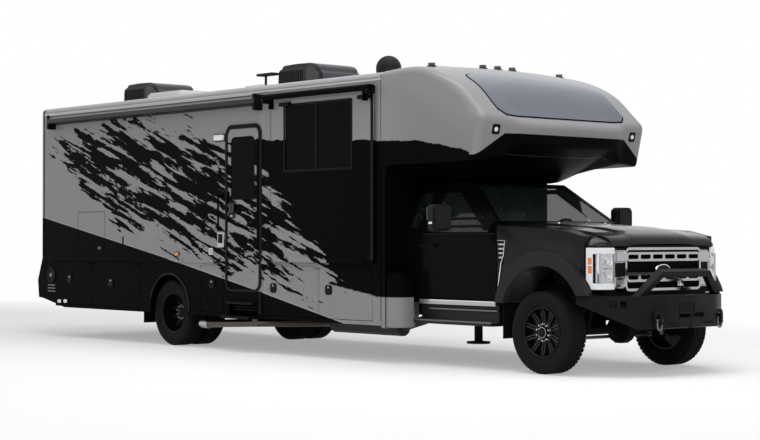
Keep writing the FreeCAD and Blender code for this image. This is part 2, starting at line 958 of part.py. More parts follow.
def roof_outline(inset):
    """The roof's half-round edged, crowned front outline, moved in by inset."""
    half = coach_half_width - inset
    edge = roof_edge_z - inset
    shoulder = half - roof_edge_inset
    top = edge + roof_crown
    base = wall_top
    right_edge = Part.Arc(Vector(0, -half, base + (edge - base) / 3),
                          Vector(0, -half + roof_edge_inset / 3, edge - (edge - base) / 4),
                          Vector(0, -shoulder, edge)).toShape()
    crown = Part.Arc(Vector(0, -shoulder, edge), Vector(0, 0, top), Vector(0, shoulder, edge)).toShape()
    left_edge = Part.Arc(Vector(0, shoulder, edge),
                         Vector(0, half - roof_edge_inset / 3, edge - (edge - base) / 4),
                         Vector(0, half, base + (edge - base) / 3)).toShape()
    low = base if inset == 0 else base - overrun
    sides = [Part.makeLine(Vector(0, half, base + (edge - base) / 3), Vector(0, half, low)),
             Part.makeLine(Vector(0, half, low), Vector(0, -half, low)),
             Part.makeLine(Vector(0, -half, low), Vector(0, -half, base + (edge - base) / 3))]
    return Part.Face(Part.Wire([right_edge, crown, left_edge] + sides))


def roof():
    outer = roof_outline(0)
    outer.translate(Vector(coach_rear, 0, 0))
    solid = outer.extrude(Vector(coach_front - coach_rear, 0, 0))
    inner = roof_outline(roof_wall)
    inner.translate(Vector(coach_rear - overrun, 0, 0))
    hollow = inner.extrude(Vector(coach_front - coach_rear + overrun * 2, 0, 0))
    return solid.cut(hollow)


def wall_hole(side, x0, x1, z0, z1, radius):
    y0 = side * (coach_half_width - wall * 2)
    y1 = side * (coach_half_width + wall * 2)
    if radius:
        return rounded_slab(x0, x1, z0, z1, radius, min(y0, y1), max(y0, y1))
    return box(x0, x1, y0, y1, z0, z1)


def wall_pane(side, x0, x1, z0, z1, radius):
    y0 = side * (coach_half_width - pane_inset)
    y1 = side * (coach_half_width - pane_inset - pane)
    if radius:
        return rounded_slab(x0, x1, z0, z1, radius, min(y0, y1), max(y0, y1))
    return box(x0, x1, y0, y1, z0, z1)


def left_windows():
    length = coach_front - coach_rear
    spans = []
    for near, far in (bed_window_share, galley_window_share):
        spans.append((coach_front - far * length, coach_front - near * length))
    return spans


def coach_wall(side):
    solid = box(coach_rear, coach_front, side * (coach_half_width - wall), side * coach_half_width,
                floor_top, wall_top)
    if side == right:
        solid = solid.cut(wall_hole(side, entry_rear, entry_front, entry_bottom, entry_top, entry_corner))
        low = floor_top - overrun
        solid = solid.cut(wall_hole(side, slide_rear + slide_flange - slide_clearance,
                                    slide_front - slide_flange + slide_clearance, low,
                                    slide_top - slide_flange + slide_clearance, 0))
        solid = solid.fuse([entry_trim_ring(), grab_handle()])
    else:
        for x0, x1 in left_windows():
            solid = solid.cut(wall_hole(side, x0, x1, window_low, window_high, window_corner))
    return solid.removeSplitter()


def entry_trim_ring():
    y0 = -coach_half_width - entry_trim_proud
    y1 = -coach_half_width
    outer = rounded_slab(entry_rear - entry_trim, entry_front + entry_trim, floor_top,
                         entry_top + entry_trim, entry_corner, y0, y1)
    outer = outer.common(box(entry_rear - overrun, entry_front + overrun, y0, y1,
                             floor_top + entry_corner, entry_top + overrun))
    return outer.cut(wall_hole(right, entry_rear, entry_front, entry_bottom, entry_top, entry_corner))


def grab_handle():
    y = -coach_half_width - handle_stand_off
    low = handle_low - handle_radius
    high = handle_high + handle_radius
    solids = [bar(handle_radius, (handle_x, y, low), (handle_x, y, high), small_sides)]
    for z in (handle_low, handle_high):
        solids.append(bar(handle_radius, (handle_x, y, z), (handle_x, -coach_half_width, z), small_sides))
    return joined(solids)


def arch_shape(side, radius, y0, y1):
    x = -wheel_base + arch_x_offset
    wheel = bar(radius, (x, side * y0, arch_z), (x, side * y1, arch_z), arch_sides)
    slot = box(x - radius, x + radius, side * y0, side * y1, 0, arch_z)
    return wheel.fuse(slot)


def skirt(side, spans):
    inner = coach_half_width - skirt_wall
    z1 = floor_top - floor_thickness
    kick = rear_cap_low - skirt_bottom
    rear = coach_rear
    outline = [(rear, rear_cap_low), (rear + kick * 5, skirt_bottom), (coach_front, skirt_bottom),
               (coach_front, z1), (rear, z1)]
    solid = prism_y(outline, side * inner, side * coach_half_width)
    solid = solid.fuse(bays(side, spans))
    solid = solid.cut(arch_shape(side, arch_radius, bay_inner_y, coach_half_width + overrun))
    lip = arch_shape(side, arch_radius, inner, coach_half_width + arch_lip_proud)
    lip_bore = arch_shape(side, arch_radius - arch_lip, inner - overrun, coach_half_width + overrun)
    low = box(coach_rear, coach_front, side * inner, side * (coach_half_width + overrun), 0, skirt_bottom)
    solid = solid.fuse(lip.cut(lip_bore).cut(low))
    for x0, x1 in spans:
        solid = solid.cut(box(x0, x1, side * (inner - bay_wall), side * (coach_half_width + overrun),
                              bay_door_low, bay_door_high))
    if side == right:
        solid = solid.cut(box(entry_rear, entry_front, side * bay_inner_y,
                              side * (coach_half_width + overrun), entry_bottom, z1))
        solid = solid.cut(box(entry_rear + step_inset - entry_gap, entry_front - step_inset + entry_gap,
                              side * bay_inner_y, side * (coach_half_width + overrun), 0,
                              step_high_z + entry_gap))
    return solid.removeSplitter()


def bays(side, spans):
    """Open-fronted luggage tubs behind the doors, hung under the floor."""
    outer = coach_half_width - skirt_wall
    z1 = floor_top - floor_thickness
    tubs = []
    for x0, x1 in spans:
        tub = box(x0 - bay_wall, x1 + bay_wall, side * bay_inner_y, side * outer, bay_floor_z - bay_wall, z1)
        space = box(x0, x1, side * (bay_inner_y + bay_wall), side * (outer + overrun), bay_floor_z,
                    z1 + overrun)
        tubs.append(tub.cut(space))
    return tubs


def bay_door(side, span):
    x0, x1 = span
    y0 = side * (coach_half_width - bay_door_thickness)
    y1 = side * coach_half_width
    panel = rounded_slab(x0 + bay_door_gap, x1 - bay_door_gap, bay_door_low + bay_door_gap,
                         bay_door_high - bay_door_gap, bay_door_corner, min(y0, y1), max(y0, y1))
    axis_y = side * (coach_half_width + seat_gap + bay_hinge_radius)
    axis_z = bay_door_high + bay_hinge_rise
    h0 = x0 + bay_door_corner * 2
    h1 = x1 - bay_door_corner * 2
    leaf_low = bay_door_high - bay_door_gap - bay_hinge_leaf
    leaf = box(h0, h1, side * (coach_half_width + seat_gap), side * (coach_half_width + bay_hinge_radius),
               leaf_low, axis_z)
    foot = box(h0, h1, y0, side * (coach_half_width + bay_hinge_radius), leaf_low, leaf_low + bay_hinge_leaf)
    barrel = rod(bay_hinge_radius, (h0, axis_y, axis_z), (h1, axis_y, axis_z))
    return joined([panel, leaf, foot, barrel])


def floor():
    z0 = floor_top - floor_thickness
    slab = box(coach_rear, coach_front, -coach_half_width, coach_half_width, z0, floor_top)
    y0 = -coach_half_width - overrun
    well = box(entry_rear, entry_front, y0, -coach_half_width + step_well_depth, z0 - overrun,
               floor_top + overrun)
    slab = slab.cut(well)
    solids = [slab]
    for side in (right, left):
        edge = box(coach_rear, coach_front, side * coach_half_width,
                   side * (coach_half_width + rail_moulding_proud), rail_moulding_low, rail_moulding_high)
        if side == right:
            edge = edge.cut(well)
        solids.append(edge)
    length = coach_front - coach_rear
    reach = bay_inner_y - bay_wall
    for share in floor_beam_share:
        x = coach_front - length * share
        solids.append(box(x, x + floor_beam_width, -reach, reach, rail_top, z0))
    return joined(solids)


def entry_door():
    y0 = -coach_half_width
    y1 = -coach_half_width + entry_thickness
    gap = entry_gap
    slab = rounded_slab(entry_rear + gap, entry_front - gap, entry_bottom + gap, entry_top - gap,
                        entry_corner - gap, y0, y1)
    hole = rounded_slab(entry_window_rear, entry_window_front, entry_window_low, entry_window_high,
                        window_corner, y0 - overrun, y1 + overrun)
    latch = box(entry_window_rear - gap, entry_window_rear + entry_corner + gap,
                y0 - entry_trim_proud * 2, y0,
                entry_window_low - entry_corner * 3, entry_window_low - entry_gap * 5)
    axis_x = entry_front + bay_hinge_rise
    axis_y = y0 - entry_trim_proud - seat_gap - entry_hinge_radius
    z0 = floor_top + entry_corner * 2
    z1 = entry_top - entry_corner * 2
    barrel = rod(entry_hinge_radius, (axis_x, axis_y, z0), (axis_x, axis_y, z1))
    leaf = box(entry_front - gap - entry_hinge_leaf, axis_x, axis_y, axis_y + entry_hinge_radius, z0, z1)
    foot = box(entry_front - gap - entry_hinge_leaf, entry_front - gap, axis_y, y0 + gap, z0, z1)
    return joined([slab.cut(hole), latch, barrel, leaf, foot])


def entry_glass():
    return wall_pane(right, entry_window_rear, entry_window_front, entry_window_low, entry_window_high,
                     window_corner)


def entry_steps():
    """The step well inside the doorway and the fold-out step below it."""
    outer = -coach_half_width + entry_thickness + entry_gap
    inner = -coach_half_width + step_well_depth
    z1 = floor_top - floor_thickness
    x0 = entry_rear - bay_wall
    x1 = entry_front + bay_wall
    tub = box(x0, x1, outer, inner + bay_wall, entry_bottom - step_thickness, z1)
    tub = tub.cut(box(entry_rear, entry_front, outer - overrun, inner, entry_bottom, z1 + overrun))
    riser = box(entry_rear, entry_front, inner - step_depth, inner, entry_bottom,
                (entry_bottom + floor_top) / 2)
    solids = [tub, riser]
    front = -coach_half_width + skirt_wall
    for z, reach in ((step_low_z, step_depth), (step_high_z, step_depth / 2)):
        solids.append(box(entry_rear + step_inset, entry_front - step_inset, -coach_half_width - reach / 2,
                          front + step_depth, z - step_thickness, z))
    for x in (entry_rear + step_inset, entry_front - step_inset - step_thickness):
        solids.append(box(x, x + step_thickness, front + step_depth / 2, front + step_depth,
                          step_low_z - step_thickness, entry_bottom))
    return joined(solids)


def slide_room():
    y_in = -coach_half_width + slide_depth
    y_out = -coach_half_width - slide_flange_gap
    y_face = y_out - slide_flange_thickness
    x0 = slide_rear + slide_flange
    x1 = slide_front - slide_flange
    z0 = floor_top + seat_gap
    z1 = slide_top - slide_flange
    room = box(x0, x1, y_out, y_in, z0, z1)
    room = room.cut(box(x0 + slide_wall, x1 - slide_wall, y_out - overrun, y_in + overrun,
                        z0 + slide_wall, z1 - slide_wall))
    cover = box(slide_rear, slide_front, y_face, y_out, z0, slide_top)
    chamfer = slide_rail_height
    lip = [(slide_rear + slide_flange * 2, z0), (slide_front - slide_flange - chamfer, z0),
           (slide_front - slide_flange - chamfer * 2, z0 + chamfer),
           (slide_rear + slide_flange * 2, z0 + chamfer)]
    rail_bar = prism_y(lip, y_face - slide_rail_proud, y_face)
    solid = joined([room, cover, rail_bar])
    for x in (slide_rear + topper_bracket * 2, slide_front - topper_bracket * 3):
        z = slide_top - topper_bracket_height
        arm = box(x, x + topper_bracket, y_face - topper_stand_off, y_face, z, topper_z)
        solid = solid.fuse(arm)
    hole = box(slide_window_rear, slide_window_front, y_face - overrun, y_in,
               slide_window_low, slide_window_high)
    roller_y = y_face - topper_stand_off
    roller = bar(topper_radius, (slide_rear - topper_overhang, roller_y, topper_z),
                 (slide_front + topper_overhang, roller_y, topper_z), small_sides)
    return solid.cut(hole).fuse(roller).removeSplitter()


def slide_glass():
    y = -coach_half_width - slide_flange_gap - slide_flange_thickness + pane_inset
    middle = slide_window_rear + (slide_window_front - slide_window_rear) / 2
    gap = pane / 2
    return [box(slide_window_rear, middle - gap, y, y + pane, slide_window_low, slide_window_high),
            box(middle + gap, slide_window_front, y, y + pane, slide_window_low, slide_window_high)]


def rear_wall():
    z0 = floor_top
    plate = box(coach_rear - wall, coach_rear, -coach_half_width, coach_half_width, z0, wall_top)
    crown = roof_outline(0)
    crown.translate(Vector(coach_rear - wall, 0, 0))
    return plate.fuse(crown.extrude(Vector(wall, 0, 0))).removeSplitter()


def rear_cap():
    """The lower rear moulding that swells out as a bumper, hollow and open at the front."""
    outline = [(coach_rear, rear_cap_low),
               (rear_end + rear_bumper_inset, rear_cap_low + rear_bumper_inset / 2),
               (rear_end, rear_cap_bulge_z), (coach_rear - wall, floor_top), (coach_rear, floor_top)]
    solid = prism_y(outline, -coach_half_width, coach_half_width)
    skin_x = rear_end + rear_bumper_inset * 2
    high = floor_top - rear_bumper_inset
    inner = [(coach_rear + overrun, rear_cap_low - overrun), (skin_x, rear_cap_low - overrun),
             (skin_x, rear_cap_bulge_z), (coach_rear, high), (coach_rear + overrun, high)]
    side_in = coach_half_width - skirt_wall
    return solid.cut(prism_y(inner, -side_in, side_in))


def lamps():
    solids = []
    face_x = coach_rear - wall
    for side in (right, left):
        y = side * (coach_half_width - tail_lamp_inset)
        solids.append(rounded_slab_x(face_x - tail_lamp_proud, face_x, y - tail_lamp_width / 2,
                                     y + tail_lamp_width / 2, tail_lamp_low, tail_lamp_high,
                                     tail_lamp_width / 3))
    for y in marker_y:
        z = wall_top + marker_radius / 2
        solids.append(bar(marker_radius, (face_x, y, z), (face_x - marker_height / 2, y, z), small_sides))
    return solids


def coach():
    keep("coach_roof", roof())
    keep("coach_walls", [coach_wall(right), coach_wall(left)])
    keep("skirts", [skirt(right, right_bay_spans), skirt(left, left_bay_spans)])
    keep("coach_floor", floor())
    keep("rear_wall", [rear_wall(), rear_cap()])
    keep("entry_door", entry_door())
    keep("entry_door_glass", entry_glass())
    keep("entry_steps", entry_steps())
    keep("slide_room", slide_room())
    keep("slide_room_glass", slide_glass())
    for number, span in enumerate(right_bay_spans, 1):
        keep("bay_door_right_" + str(number), bay_door(right, span))
    for number, span in enumerate(left_bay_spans, 1):
        keep("bay_door_left_" + str(number), bay_door(left, span))
    keep("coach_windows", [wall_pane(left, x0, x1, window_low, window_high, window_corner)
                           for x0, x1 in left_windows()] + [nose_glass()])
    keep("marker_lamps", lamps() + nose_lamps())


# Over-cab nose

def nose_section(y, share, drop, pull, inset):
    """One side outline of the nose. share runs from 0 at the side to 1 at the middle."""
    def between(side_value, mid_value):
        return side_value + (mid_value - side_value) * share

    crown = roof_crown * (1 - (y / coach_half_width) ** 2)
    top = roof_edge_z + crown - drop
    rise = crown - drop - inset
    header = between(nose_bottom_z, nose_header_z) + inset
    points = [(coach_front, top - inset),
              (nose_top_x, nose_top_z + rise),
              (nose_shoulder_x - inset / 2 - pull / 3, nose_shoulder_z + rise),
              (nose_slope_x - inset / 2 - pull / 2, nose_slope_z + rise),
              (nose_brow_x - inset - pull, nose_brow_z + rise * (1 - share)),
              (between(nose_ridge_x, nose_mid_ridge_x) - inset - pull,
               between(nose_ridge_z, nose_mid_ridge_z)),
              (between(nose_lip_x, nose_mid_lip_x) - inset - pull,
               between(nose_lip_z, nose_mid_lip_z) + inset),
              (nose_header_x, header),
              (coach_front, header)]
    return [Vector(x, y, z) for x, z in points]


def nose_shell(inset):
    """The nose as one closed form: side edges that turn in steps, then the recess, then the middle."""
    half = coach_half_width - inset
    stations = []
    for step in range(nose_edge_steps + 1):
        turn = math.pi / 2 * step / nose_edge_steps
        y = half - roof_edge_inset * (1 - math.cos(turn))
        left_over = 1 - math.sin(turn)
        stations.append((y, 0, nose_edge_drop * left_over, nose_corner_pull * left_over))
    keel = coach_half_width * nose_keel_share
    inner = coach_half_width * nose_inner_share
    stations.append((inner, 1 - keel / inner, 0, 0))
    stations.append((keel, 1, 0, 0))
    rings = [nose_section(-y, share, drop, pull, inset) for y, share, drop, pull in stations]
    rings.append(nose_section(0, 1, 0, 0, inset))
    rings += [nose_section(y, share, drop, pull, inset) for y, share, drop, pull in reversed(stations)]
    return skinned(rings, False)


def nose_leg(side):
    """The moulding that runs down beside the cab, with a hollow curve under the nose."""
    y_out = side * coach_half_width
    y_in = side * nose_leg_inner_y
    top = nose_bottom_z + nose_wall
    radius = nose_leg_radius
    leg = box(coach_front, nose_leg_x + radius, y_in, y_out, nose_leg_bottom, top)
    curve = bar(radius, (nose_leg_x + radius, y_in - side * overrun, nose_bottom_z - radius),
                (nose_leg_x + radius, y_out + side * overrun, nose_bottom_z - radius), arch_sides)
    below = box(nose_leg_x, nose_leg_x + radius * 2, y_in - side * overrun, y_out + side * overrun,
                0, nose_bottom_z - radius)
    leg = leg.cut(curve).cut(below)
    space = box(coach_front - overrun, nose_leg_x - wall, y_in - side * overrun,
                side * (coach_half_width - wall), floor_top, top + overrun)
    return leg.cut(space)


def nose_cap():
    solid = nose_shell(0).cut(nose_shell(nose_wall))
    throat = box(coach_front - overrun, nose_leg_x - wall, -nose_leg_inner_y, nose_leg_inner_y,
                 nose_header_z - overrun, nose_bottom_z + nose_wall)
    solids = [solid]
    for side in (right, left):
        solids.append(nose_leg(side))
    whole = joined(solids)
    back = box(coach_front - overrun, coach_front + nose_wall, -coach_half_width + nose_wall,
               coach_half_width - nose_wall, nose_header_z + nose_wall, roof_edge_z - roof_wall)
    whole = whole.cut(back).cut(throat)
    for y, z in dock_places():
        half = dock_lamp_size / 2
        whole = whole.cut(box(nose_lip_x - nose_wall / 2, nose_mid_ridge_x + overrun, y - half, y + half,
                              z - half, z + half))
    return whole


def dock_places():
    z = (nose_ridge_z + nose_mid_lip_z) / 2
    return [(side * coach_half_width * (1 + nose_inner_share) / 2, z) for side in (right, left)]


def nose_glass():
    """The dark panel that lies on the slope of the nose."""
    plan = [(nose_glass_low_x, -nose_glass_low_y), (nose_glass_low_x, nose_glass_low_y),
            (nose_glass_high_x, nose_glass_high_y), (nose_glass_high_x, -nose_glass_high_y)]
    zone = prism_z(plan, nose_mid_ridge_z, roof_edge_z + roof_crown + overrun)
    return nose_shell(-nose_glass_proud).cut(nose_shell(0)).common(zone)


def nose_lamps():
    solids = []
    for y in marker_y:
        crown = roof_crown * (1 - (y / coach_half_width) ** 2)
        base = nose_top_z + crown - marker_height
        lamp = bar(marker_radius, (marker_x, y, base), (marker_x, y, base + marker_height * 2), small_sides)
        solids.append(lamp.cut(nose_shell(0)))
    for y, z in dock_places():
        half = dock_lamp_size / 2 - bead_clearance
        solids.append(box(nose_lip_x - nose_wall / 2 + bead_clearance, nose_lip_x + nose_wall,
                          y - half, y + half, z - half, z + half))
    return solids


# Cab

def cab_front_outline(skin, frame):
    """The cab seen from the front; skin is taken off below the belt and frame above it."""
    half = [(cab_sill_half_width - skin, cab_bottom), (cab_half_width - skin, cab_sill_z),
            (cab_half_width - skin, cab_shoulder_z), (belt_half_width - frame, belt_z),
            (cab_roof_half_width - frame, cab_roof_z), (cab_roof_half_width - frame, cab_roof_z + overrun)]
    return half + [(-y, z) for y, z in reversed(half)]


def screen_prism(back):
    """The sheared, bowed block whose front is the windscreen, moved back by back."""
    slope = (screen_base_side_x - screen_top_side_x) / (cab_roof_z - cowl_z)
    z0 = cab_bottom - overrun
    z1 = cab_roof_z + overrun
    lean = slope * (z1 - z0)
    base = slope * (cowl_z - z0)
    side_x = screen_base_side_x + base - back
    mid_x = screen_base_mid_x + base - back
    rear_x = coach_front - wheel_base
    half = cab_half_width
    points = [Vector(rear_x, half, z0), Vector(rear_x, -half, z0)]
    for step in range(screen_steps + 1):
        y = half * (2 * step / screen_steps - 1)
        points.append(Vector(mid_x + (side_x - mid_x) * (y / half) ** 2, y, z0))
    return face(points).extrude(Vector(-lean, 0, z1 - z0))


def cab_solid(skin, frame, back, front, roof_drop):
    outline = cab_front_outline(skin, frame)
    body = prism_x(outline, nose_leg_x, cab_front - front)
    body = body.common(box(nose_leg_x, cab_front, -cab_half_width, cab_half_width, cab_bottom,
                           cab_roof_z - roof_drop))
    return body.common(screen_prism(back))


def screen_back(thickness):
    """How far back along X the screen face moves for a wall of this thickness."""
    run = screen_base_side_x - screen_top_side_x
    rise = cab_roof_z - cowl_z
    return thickness * math.hypot(run, rise) / rise


def cab_hollow():
    inner = cab_solid(cab_skin, cab_frame, screen_back(cab_frame), firewall, cab_frame)
    room = inner.common(box(nose_leg_x, cab_front, -cab_half_width, cab_half_width,
                            cab_floor_z + cab_floor_thickness, cab_roof_z))
    under = box(nose_leg_x, cab_front, -cab_half_width + cab_skin, cab_half_width - cab_skin,
                cab_bottom - overrun, cab_floor_z)
    back = box(nose_leg_x - overrun, nose_leg_x + wall, -cab_roof_half_width + cab_frame,
               cab_roof_half_width - cab_frame, cab_floor_z + cab_floor_thickness, cab_roof_z - cab_frame)
    return room, under, back


def door_outline():
    slope = (screen_base_side_x - screen_top_side_x) / (cab_roof_z - cowl_z)
    corner_z = cowl_z + door_frame
    front_x = screen_base_side_x - slope * (corner_z - cowl_z) - screen_back(door_frame)
    top_x = front_x - slope * (door_top - corner_z)
    return [(door_rear, door_low), (door_front, door_low), (door_front, cowl_z), (front_x, corner_z),
            (top_x, door_top), (door_top_rear_x, door_top), (door_rear, belt_z)]


def door_block(side, gap):
    y0 = side * (cab_roof_half_width / 2)
    flat = shrink(door_outline(), y0, gap)
    return flat.extrude(Vector(0, side * cab_half_width, 0))


def glass_outline():
    outline = door_outline()
    front_x, top_x = outline[3][0], outline[4][0]
    rise = (door_glass_low - belt_z)
    return [(door_rear + door_frame + rise, door_glass_low), (door_front - door_frame * 2, door_glass_low),
            (front_x - door_frame * 2, cowl_z + door_frame / 2),
            (top_x - door_frame / 2, door_top - door_frame),
            (door_top_rear_x + door_frame, door_top - door_frame)]


def glass_block(side):
    flat = shrink(glass_outline(), side * (cab_roof_half_width / 2), 0)
    return flat.extrude(Vector(0, side * cab_half_width, 0))


def quarter_block(side):
    """The small opening behind the door, where the extended cab has its window."""
    outline = [(door_rear - door_frame * 1.2, belt_z + door_frame),
               (door_top_rear_x - door_frame * 1.4, door_top - door_frame),
               (quarter_rear, door_top - door_frame), (quarter_rear, belt_z + door_frame)]
    flat = shrink(outline, side * (cab_roof_half_width / 2), 0)
    return flat.extrude(Vector(0, side * cab_half_width, 0))


def screen_zone():
    outline = [(-screen_low_y, screen_low_z), (screen_low_y, screen_low_z), (screen_high_y, screen_high_z),
               (-screen_high_y, screen_high_z)]
    return prism_x(outline, nose_leg_x / 2 + screen_top_side_x / 2, 0)


def cab_skin_layer(depth, thickness):
    """A layer of the cab's side skin from depth to depth plus thickness under the outside."""
    outer = cab_solid(depth, depth, 0, 0, 0)
    return outer.cut(cab_solid(depth + thickness, depth + thickness, 0, 0, 0))


def cab_shell():
    room, under, back = cab_hollow()
    shell = cab_solid(0, 0, 0, 0, 0).cut(room).cut(under).cut(back).cut(screen_zone())
    for side in (right, left):
        shell = shell.cut(door_block(side, 0)).cut(quarter_block(side))
        shell = shell.cut(box(door_front, cab_front, side * (cab_half_width - fender_skin),
                              side * cab_half_width, 0, hood_edge_rear_z + hood_gap))
        for z in (door_hinge_low, door_hinge_high):
            shell = shell.fuse(box(door_front - door_gap - door_step + seat_gap, door_front,
                                   side * (cab_half_width - cab_skin), side * (cab_half_width - fender_skin),
                                   z, z + door_hinge_height))
    return shell.removeSplitter()


def cab_door(side):
    outer = cab_solid(0, 0, 0, 0, 0)
    middle = cab_solid(door_lip, door_lip, 0, 0, 0)
    inner = cab_solid(cab_skin, cab_frame, 0, 0, 0)
    lip = outer.cut(middle).common(door_block(side, door_gap))
    body = middle.cut(inner).common(door_block(side, door_gap + door_step))
    door = lip.fuse(body).cut(glass_block(side))
    y0 = side * (cab_half_width - door_gap)
    y1 = side * (cab_half_width + door_handle_proud)
    grip = rounded_slab(door_handle_rear, door_handle_front, door_handle_z - door_handle_height / 2,
                        door_handle_z + door_handle_height / 2, door_handle_height / 3,
                        min(y0, y1), max(y0, y1))
    cavity = box(door_handle_rear + door_handle_height, door_handle_front - door_handle_height,
                 side * cab_half_width - side * door_gap, y1 - side * door_handle_height / 2,
                 door_handle_z - door_handle_height, door_handle_z + door_handle_height)
    return door.fuse(grip.cut(cavity)).removeSplitter()


def side_glass(side):
    layer = cab_skin_layer(pane_inset * 2, pane)
    return layer.common(glass_block(side))


def windscreen():
    depth = screen_back(pane_inset)
    outer = cab_solid(0, 0, depth, 0, 0)
    glass = outer.cut(cab_solid(0, 0, depth + screen_back(pane), 0, 0)).common(screen_zone())
    quarters = []
    layer = cab_skin_layer(pane_inset * 2, pane)
    for side in (right, left):
        quarters.append(layer.common(quarter_block(side)))
    return [glass] + quarters


def mirror(side):
    head = rounded_slab(mirror_rear, mirror_front, mirror_low, mirror_high, mirror_arm_radius * 2,
                        min(side * mirror_inner_y, side * mirror_outer_y),
                        max(side * mirror_inner_y, side * mirror_outer_y))
    top_y = belt_half_width - pane_inset
    sail = box(mirror_arm_x - mirror_sail, mirror_arm_x + mirror_sail / 2, side * (top_y - cab_frame),
               side * (top_y + mirror_sail / 2), mirror_arm_low - mirror_sail / 2,
               mirror_arm_high + mirror_sail / 4)
    solids = [head, sail]
    for z in (mirror_arm_low, mirror_arm_high):
        middle_x = (mirror_rear + mirror_front) / 2
        solids.append(bar(mirror_arm_radius, (mirror_arm_x, side * top_y, z),
                          (middle_x, side * (mirror_inner_y + mirror_arm_radius), z), small_sides))
    return joined(solids).cut(cab_solid(0, 0, 0, 0, 0))


# Front end

def hood_height(x):
    """The height of the bonnet's side edge at x, from the cowl to the nose."""
    stations = [(hood_rear, hood_edge_rear_z), (hood_rear / 3, (hood_edge_rear_z + hood_edge_mid_z) / 2),
                (hood_front / 3, hood_edge_mid_z), (hood_nose_drop_x, hood_edge_front_z),
                (hood_front, hood_nose_z)]
    for (x0, z0), (x1, z1) in zip(stations, stations[1:]):
        if x <= x1:
            return z0 + (z1 - z0) * (x - x0) / (x1 - x0)
    return hood_nose_z


def hood_section(x, drop):
    edge = hood_height(x) - drop
    end_share = min(1, (hood_front - x) / (hood_front - hood_nose_drop_x) / 2 + 0.5)
    crown = hood_crown * end_share
    half = hood_half_width - drop / 2
    dome = hood_dome_y
    top = [(-half, edge), (-dome - dome / 4, edge + crown / 3), (-dome, edge + crown * 0.8),
           (0, edge + crown), (dome, edge + crown * 0.8), (dome + dome / 4, edge + crown / 3), (half, edge)]
    low = hood_nose_z - overrun * 3 if drop else edge - hood_wall
    bottom = [(half, low), (-half, low)]
    return Part.makePolygon([Vector(x, y, z) for y, z in top + bottom + top[:1]])


def hood_stations():
    return [hood_rear, hood_rear / 3, hood_front / 3, hood_nose_drop_x, hood_front]


def hood():
    stations = hood_stations()
    solids = []
    for x0, x1 in zip(stations, stations[1:]):
        solids.append(Part.makeLoft([hood_section(x0, 0), hood_section(x1, 0)], True, True))
    outer = joined(solids)
    cavities = []
    for x0, x1 in zip(stations, stations[1:]):
        end = min(x1, hood_front - hood_wall)
        if end > x0:
            sections = [hood_section(x0, hood_wall), hood_section(end, hood_wall)]
            cavities.append(Part.makeLoft(sections, True, True))
    return outer.cut(joined(cavities)).removeSplitter()


def fender_outline(inset):
    points = [(fender_rear, fender_low), (fender_rear, hood_height(hood_rear) - inset)]
    for x in hood_stations()[1:-1]:
        points.append((x if x < fender_front else fender_front, hood_height(x) - inset))
    points.append((fender_front, lamp_low))
    return points + [(fender_front, bumper_top + hood_gap), (fender_front, fender_low)]


def flare(side):
    y0 = side * (cab_half_width - fender_skin)
    y1 = side * (cab_half_width + flare_proud)
    disc = bar(flare_outer_radius, (0, y0, flare_outer_z), (0, y1, flare_outer_z), arch_sides)
    return disc.common(box(fender_rear, flare_outer_radius, y0, y1, fender_low, flare_outer_z * 3))


def arch_bore(side, radius):
    y0 = side * (fender_inner_y - overrun)
    y1 = side * (cab_half_width + flare_proud + overrun)
    wheel = bar(radius, (0, y0, flare_inner_z), (0, y1, flare_inner_z), arch_sides)
    return wheel.fuse(box(-radius, radius, y0, y1, 0, flare_inner_z))


def fender(side):
    y0 = side * fender_inner_y
    y1 = side * cab_half_width
    solid = prism_y(fender_outline(0), y0, y1)
    top_cut = box(fender_rear, fender_front, y0 - side * overrun, side * (hood_half_width + hood_gap),
                  hood_height(hood_front) - overrun * 2, hood_edge_rear_z + overrun)
    inner = prism_y(fender_outline(fender_skin), y0 - side * overrun, y1 - side * fender_skin)
    inner = inner.common(box(fender_rear + fender_skin, fender_front - fender_skin, -cab_half_width,
                             cab_half_width, fender_low - overrun, hood_edge_rear_z))
    inner = inner.cut(arch_bore(side, flare_inner_radius + liner))
    solid = solid.cut(inner).cut(top_cut).fuse(flare(side)).cut(arch_bore(side, flare_inner_radius))
    low = box(fender_rear - overrun, hood_front, -coach_half_width, coach_half_width, 0, fender_low)
    front_low = box(0, hood_front, -coach_half_width, coach_half_width, 0, bumper_top + hood_gap)
    pillar = box(fender_rear - overrun, cab_front, 0, side * (cab_half_width - fender_skin), 0, cab_roof_z)
    solid = solid.cut(low).cut(front_low).cut(pillar)
    return solid.fuse(hood_stop(side)).removeSplitter()


def hood_stop(side):
    """The ledge inside the wing that the closed bonnet rests on."""
    top = hood_height(hood_stop_length / 2) - hood_wall - seat_gap
    return box(-hood_stop_length / 2, hood_stop_length / 2, side * (hood_half_width - hood_stop_width),
               side * (hood_half_width + hood_gap), top - hood_stop_width, top)


def slotted_bar(z0):
    z1 = z0 + grille_bar_height
    whole = rounded_slab_x(grille_x - grille_depth, grille_x, -grille_half_width + grille_frame,
                           grille_half_width - grille_frame, z0, z1, grille_frame)
    span = (grille_half_width - grille_frame) * 2
    pitch = span / grille_slots
    mid = (z0 + z1) / 2
    for number in range(grille_slots):
        y0 = -span / 2 + number * pitch + grille_slot_gap / 2
        slot = rounded_slab_x(grille_x - grille_depth - overrun, grille_x + overrun, y0,
                              y0 + pitch - grille_slot_gap, mid - grille_slot_height / 2,
                              mid + grille_slot_height / 2, grille_slot_height / 3)
        whole = whole.cut(slot)
    return whole


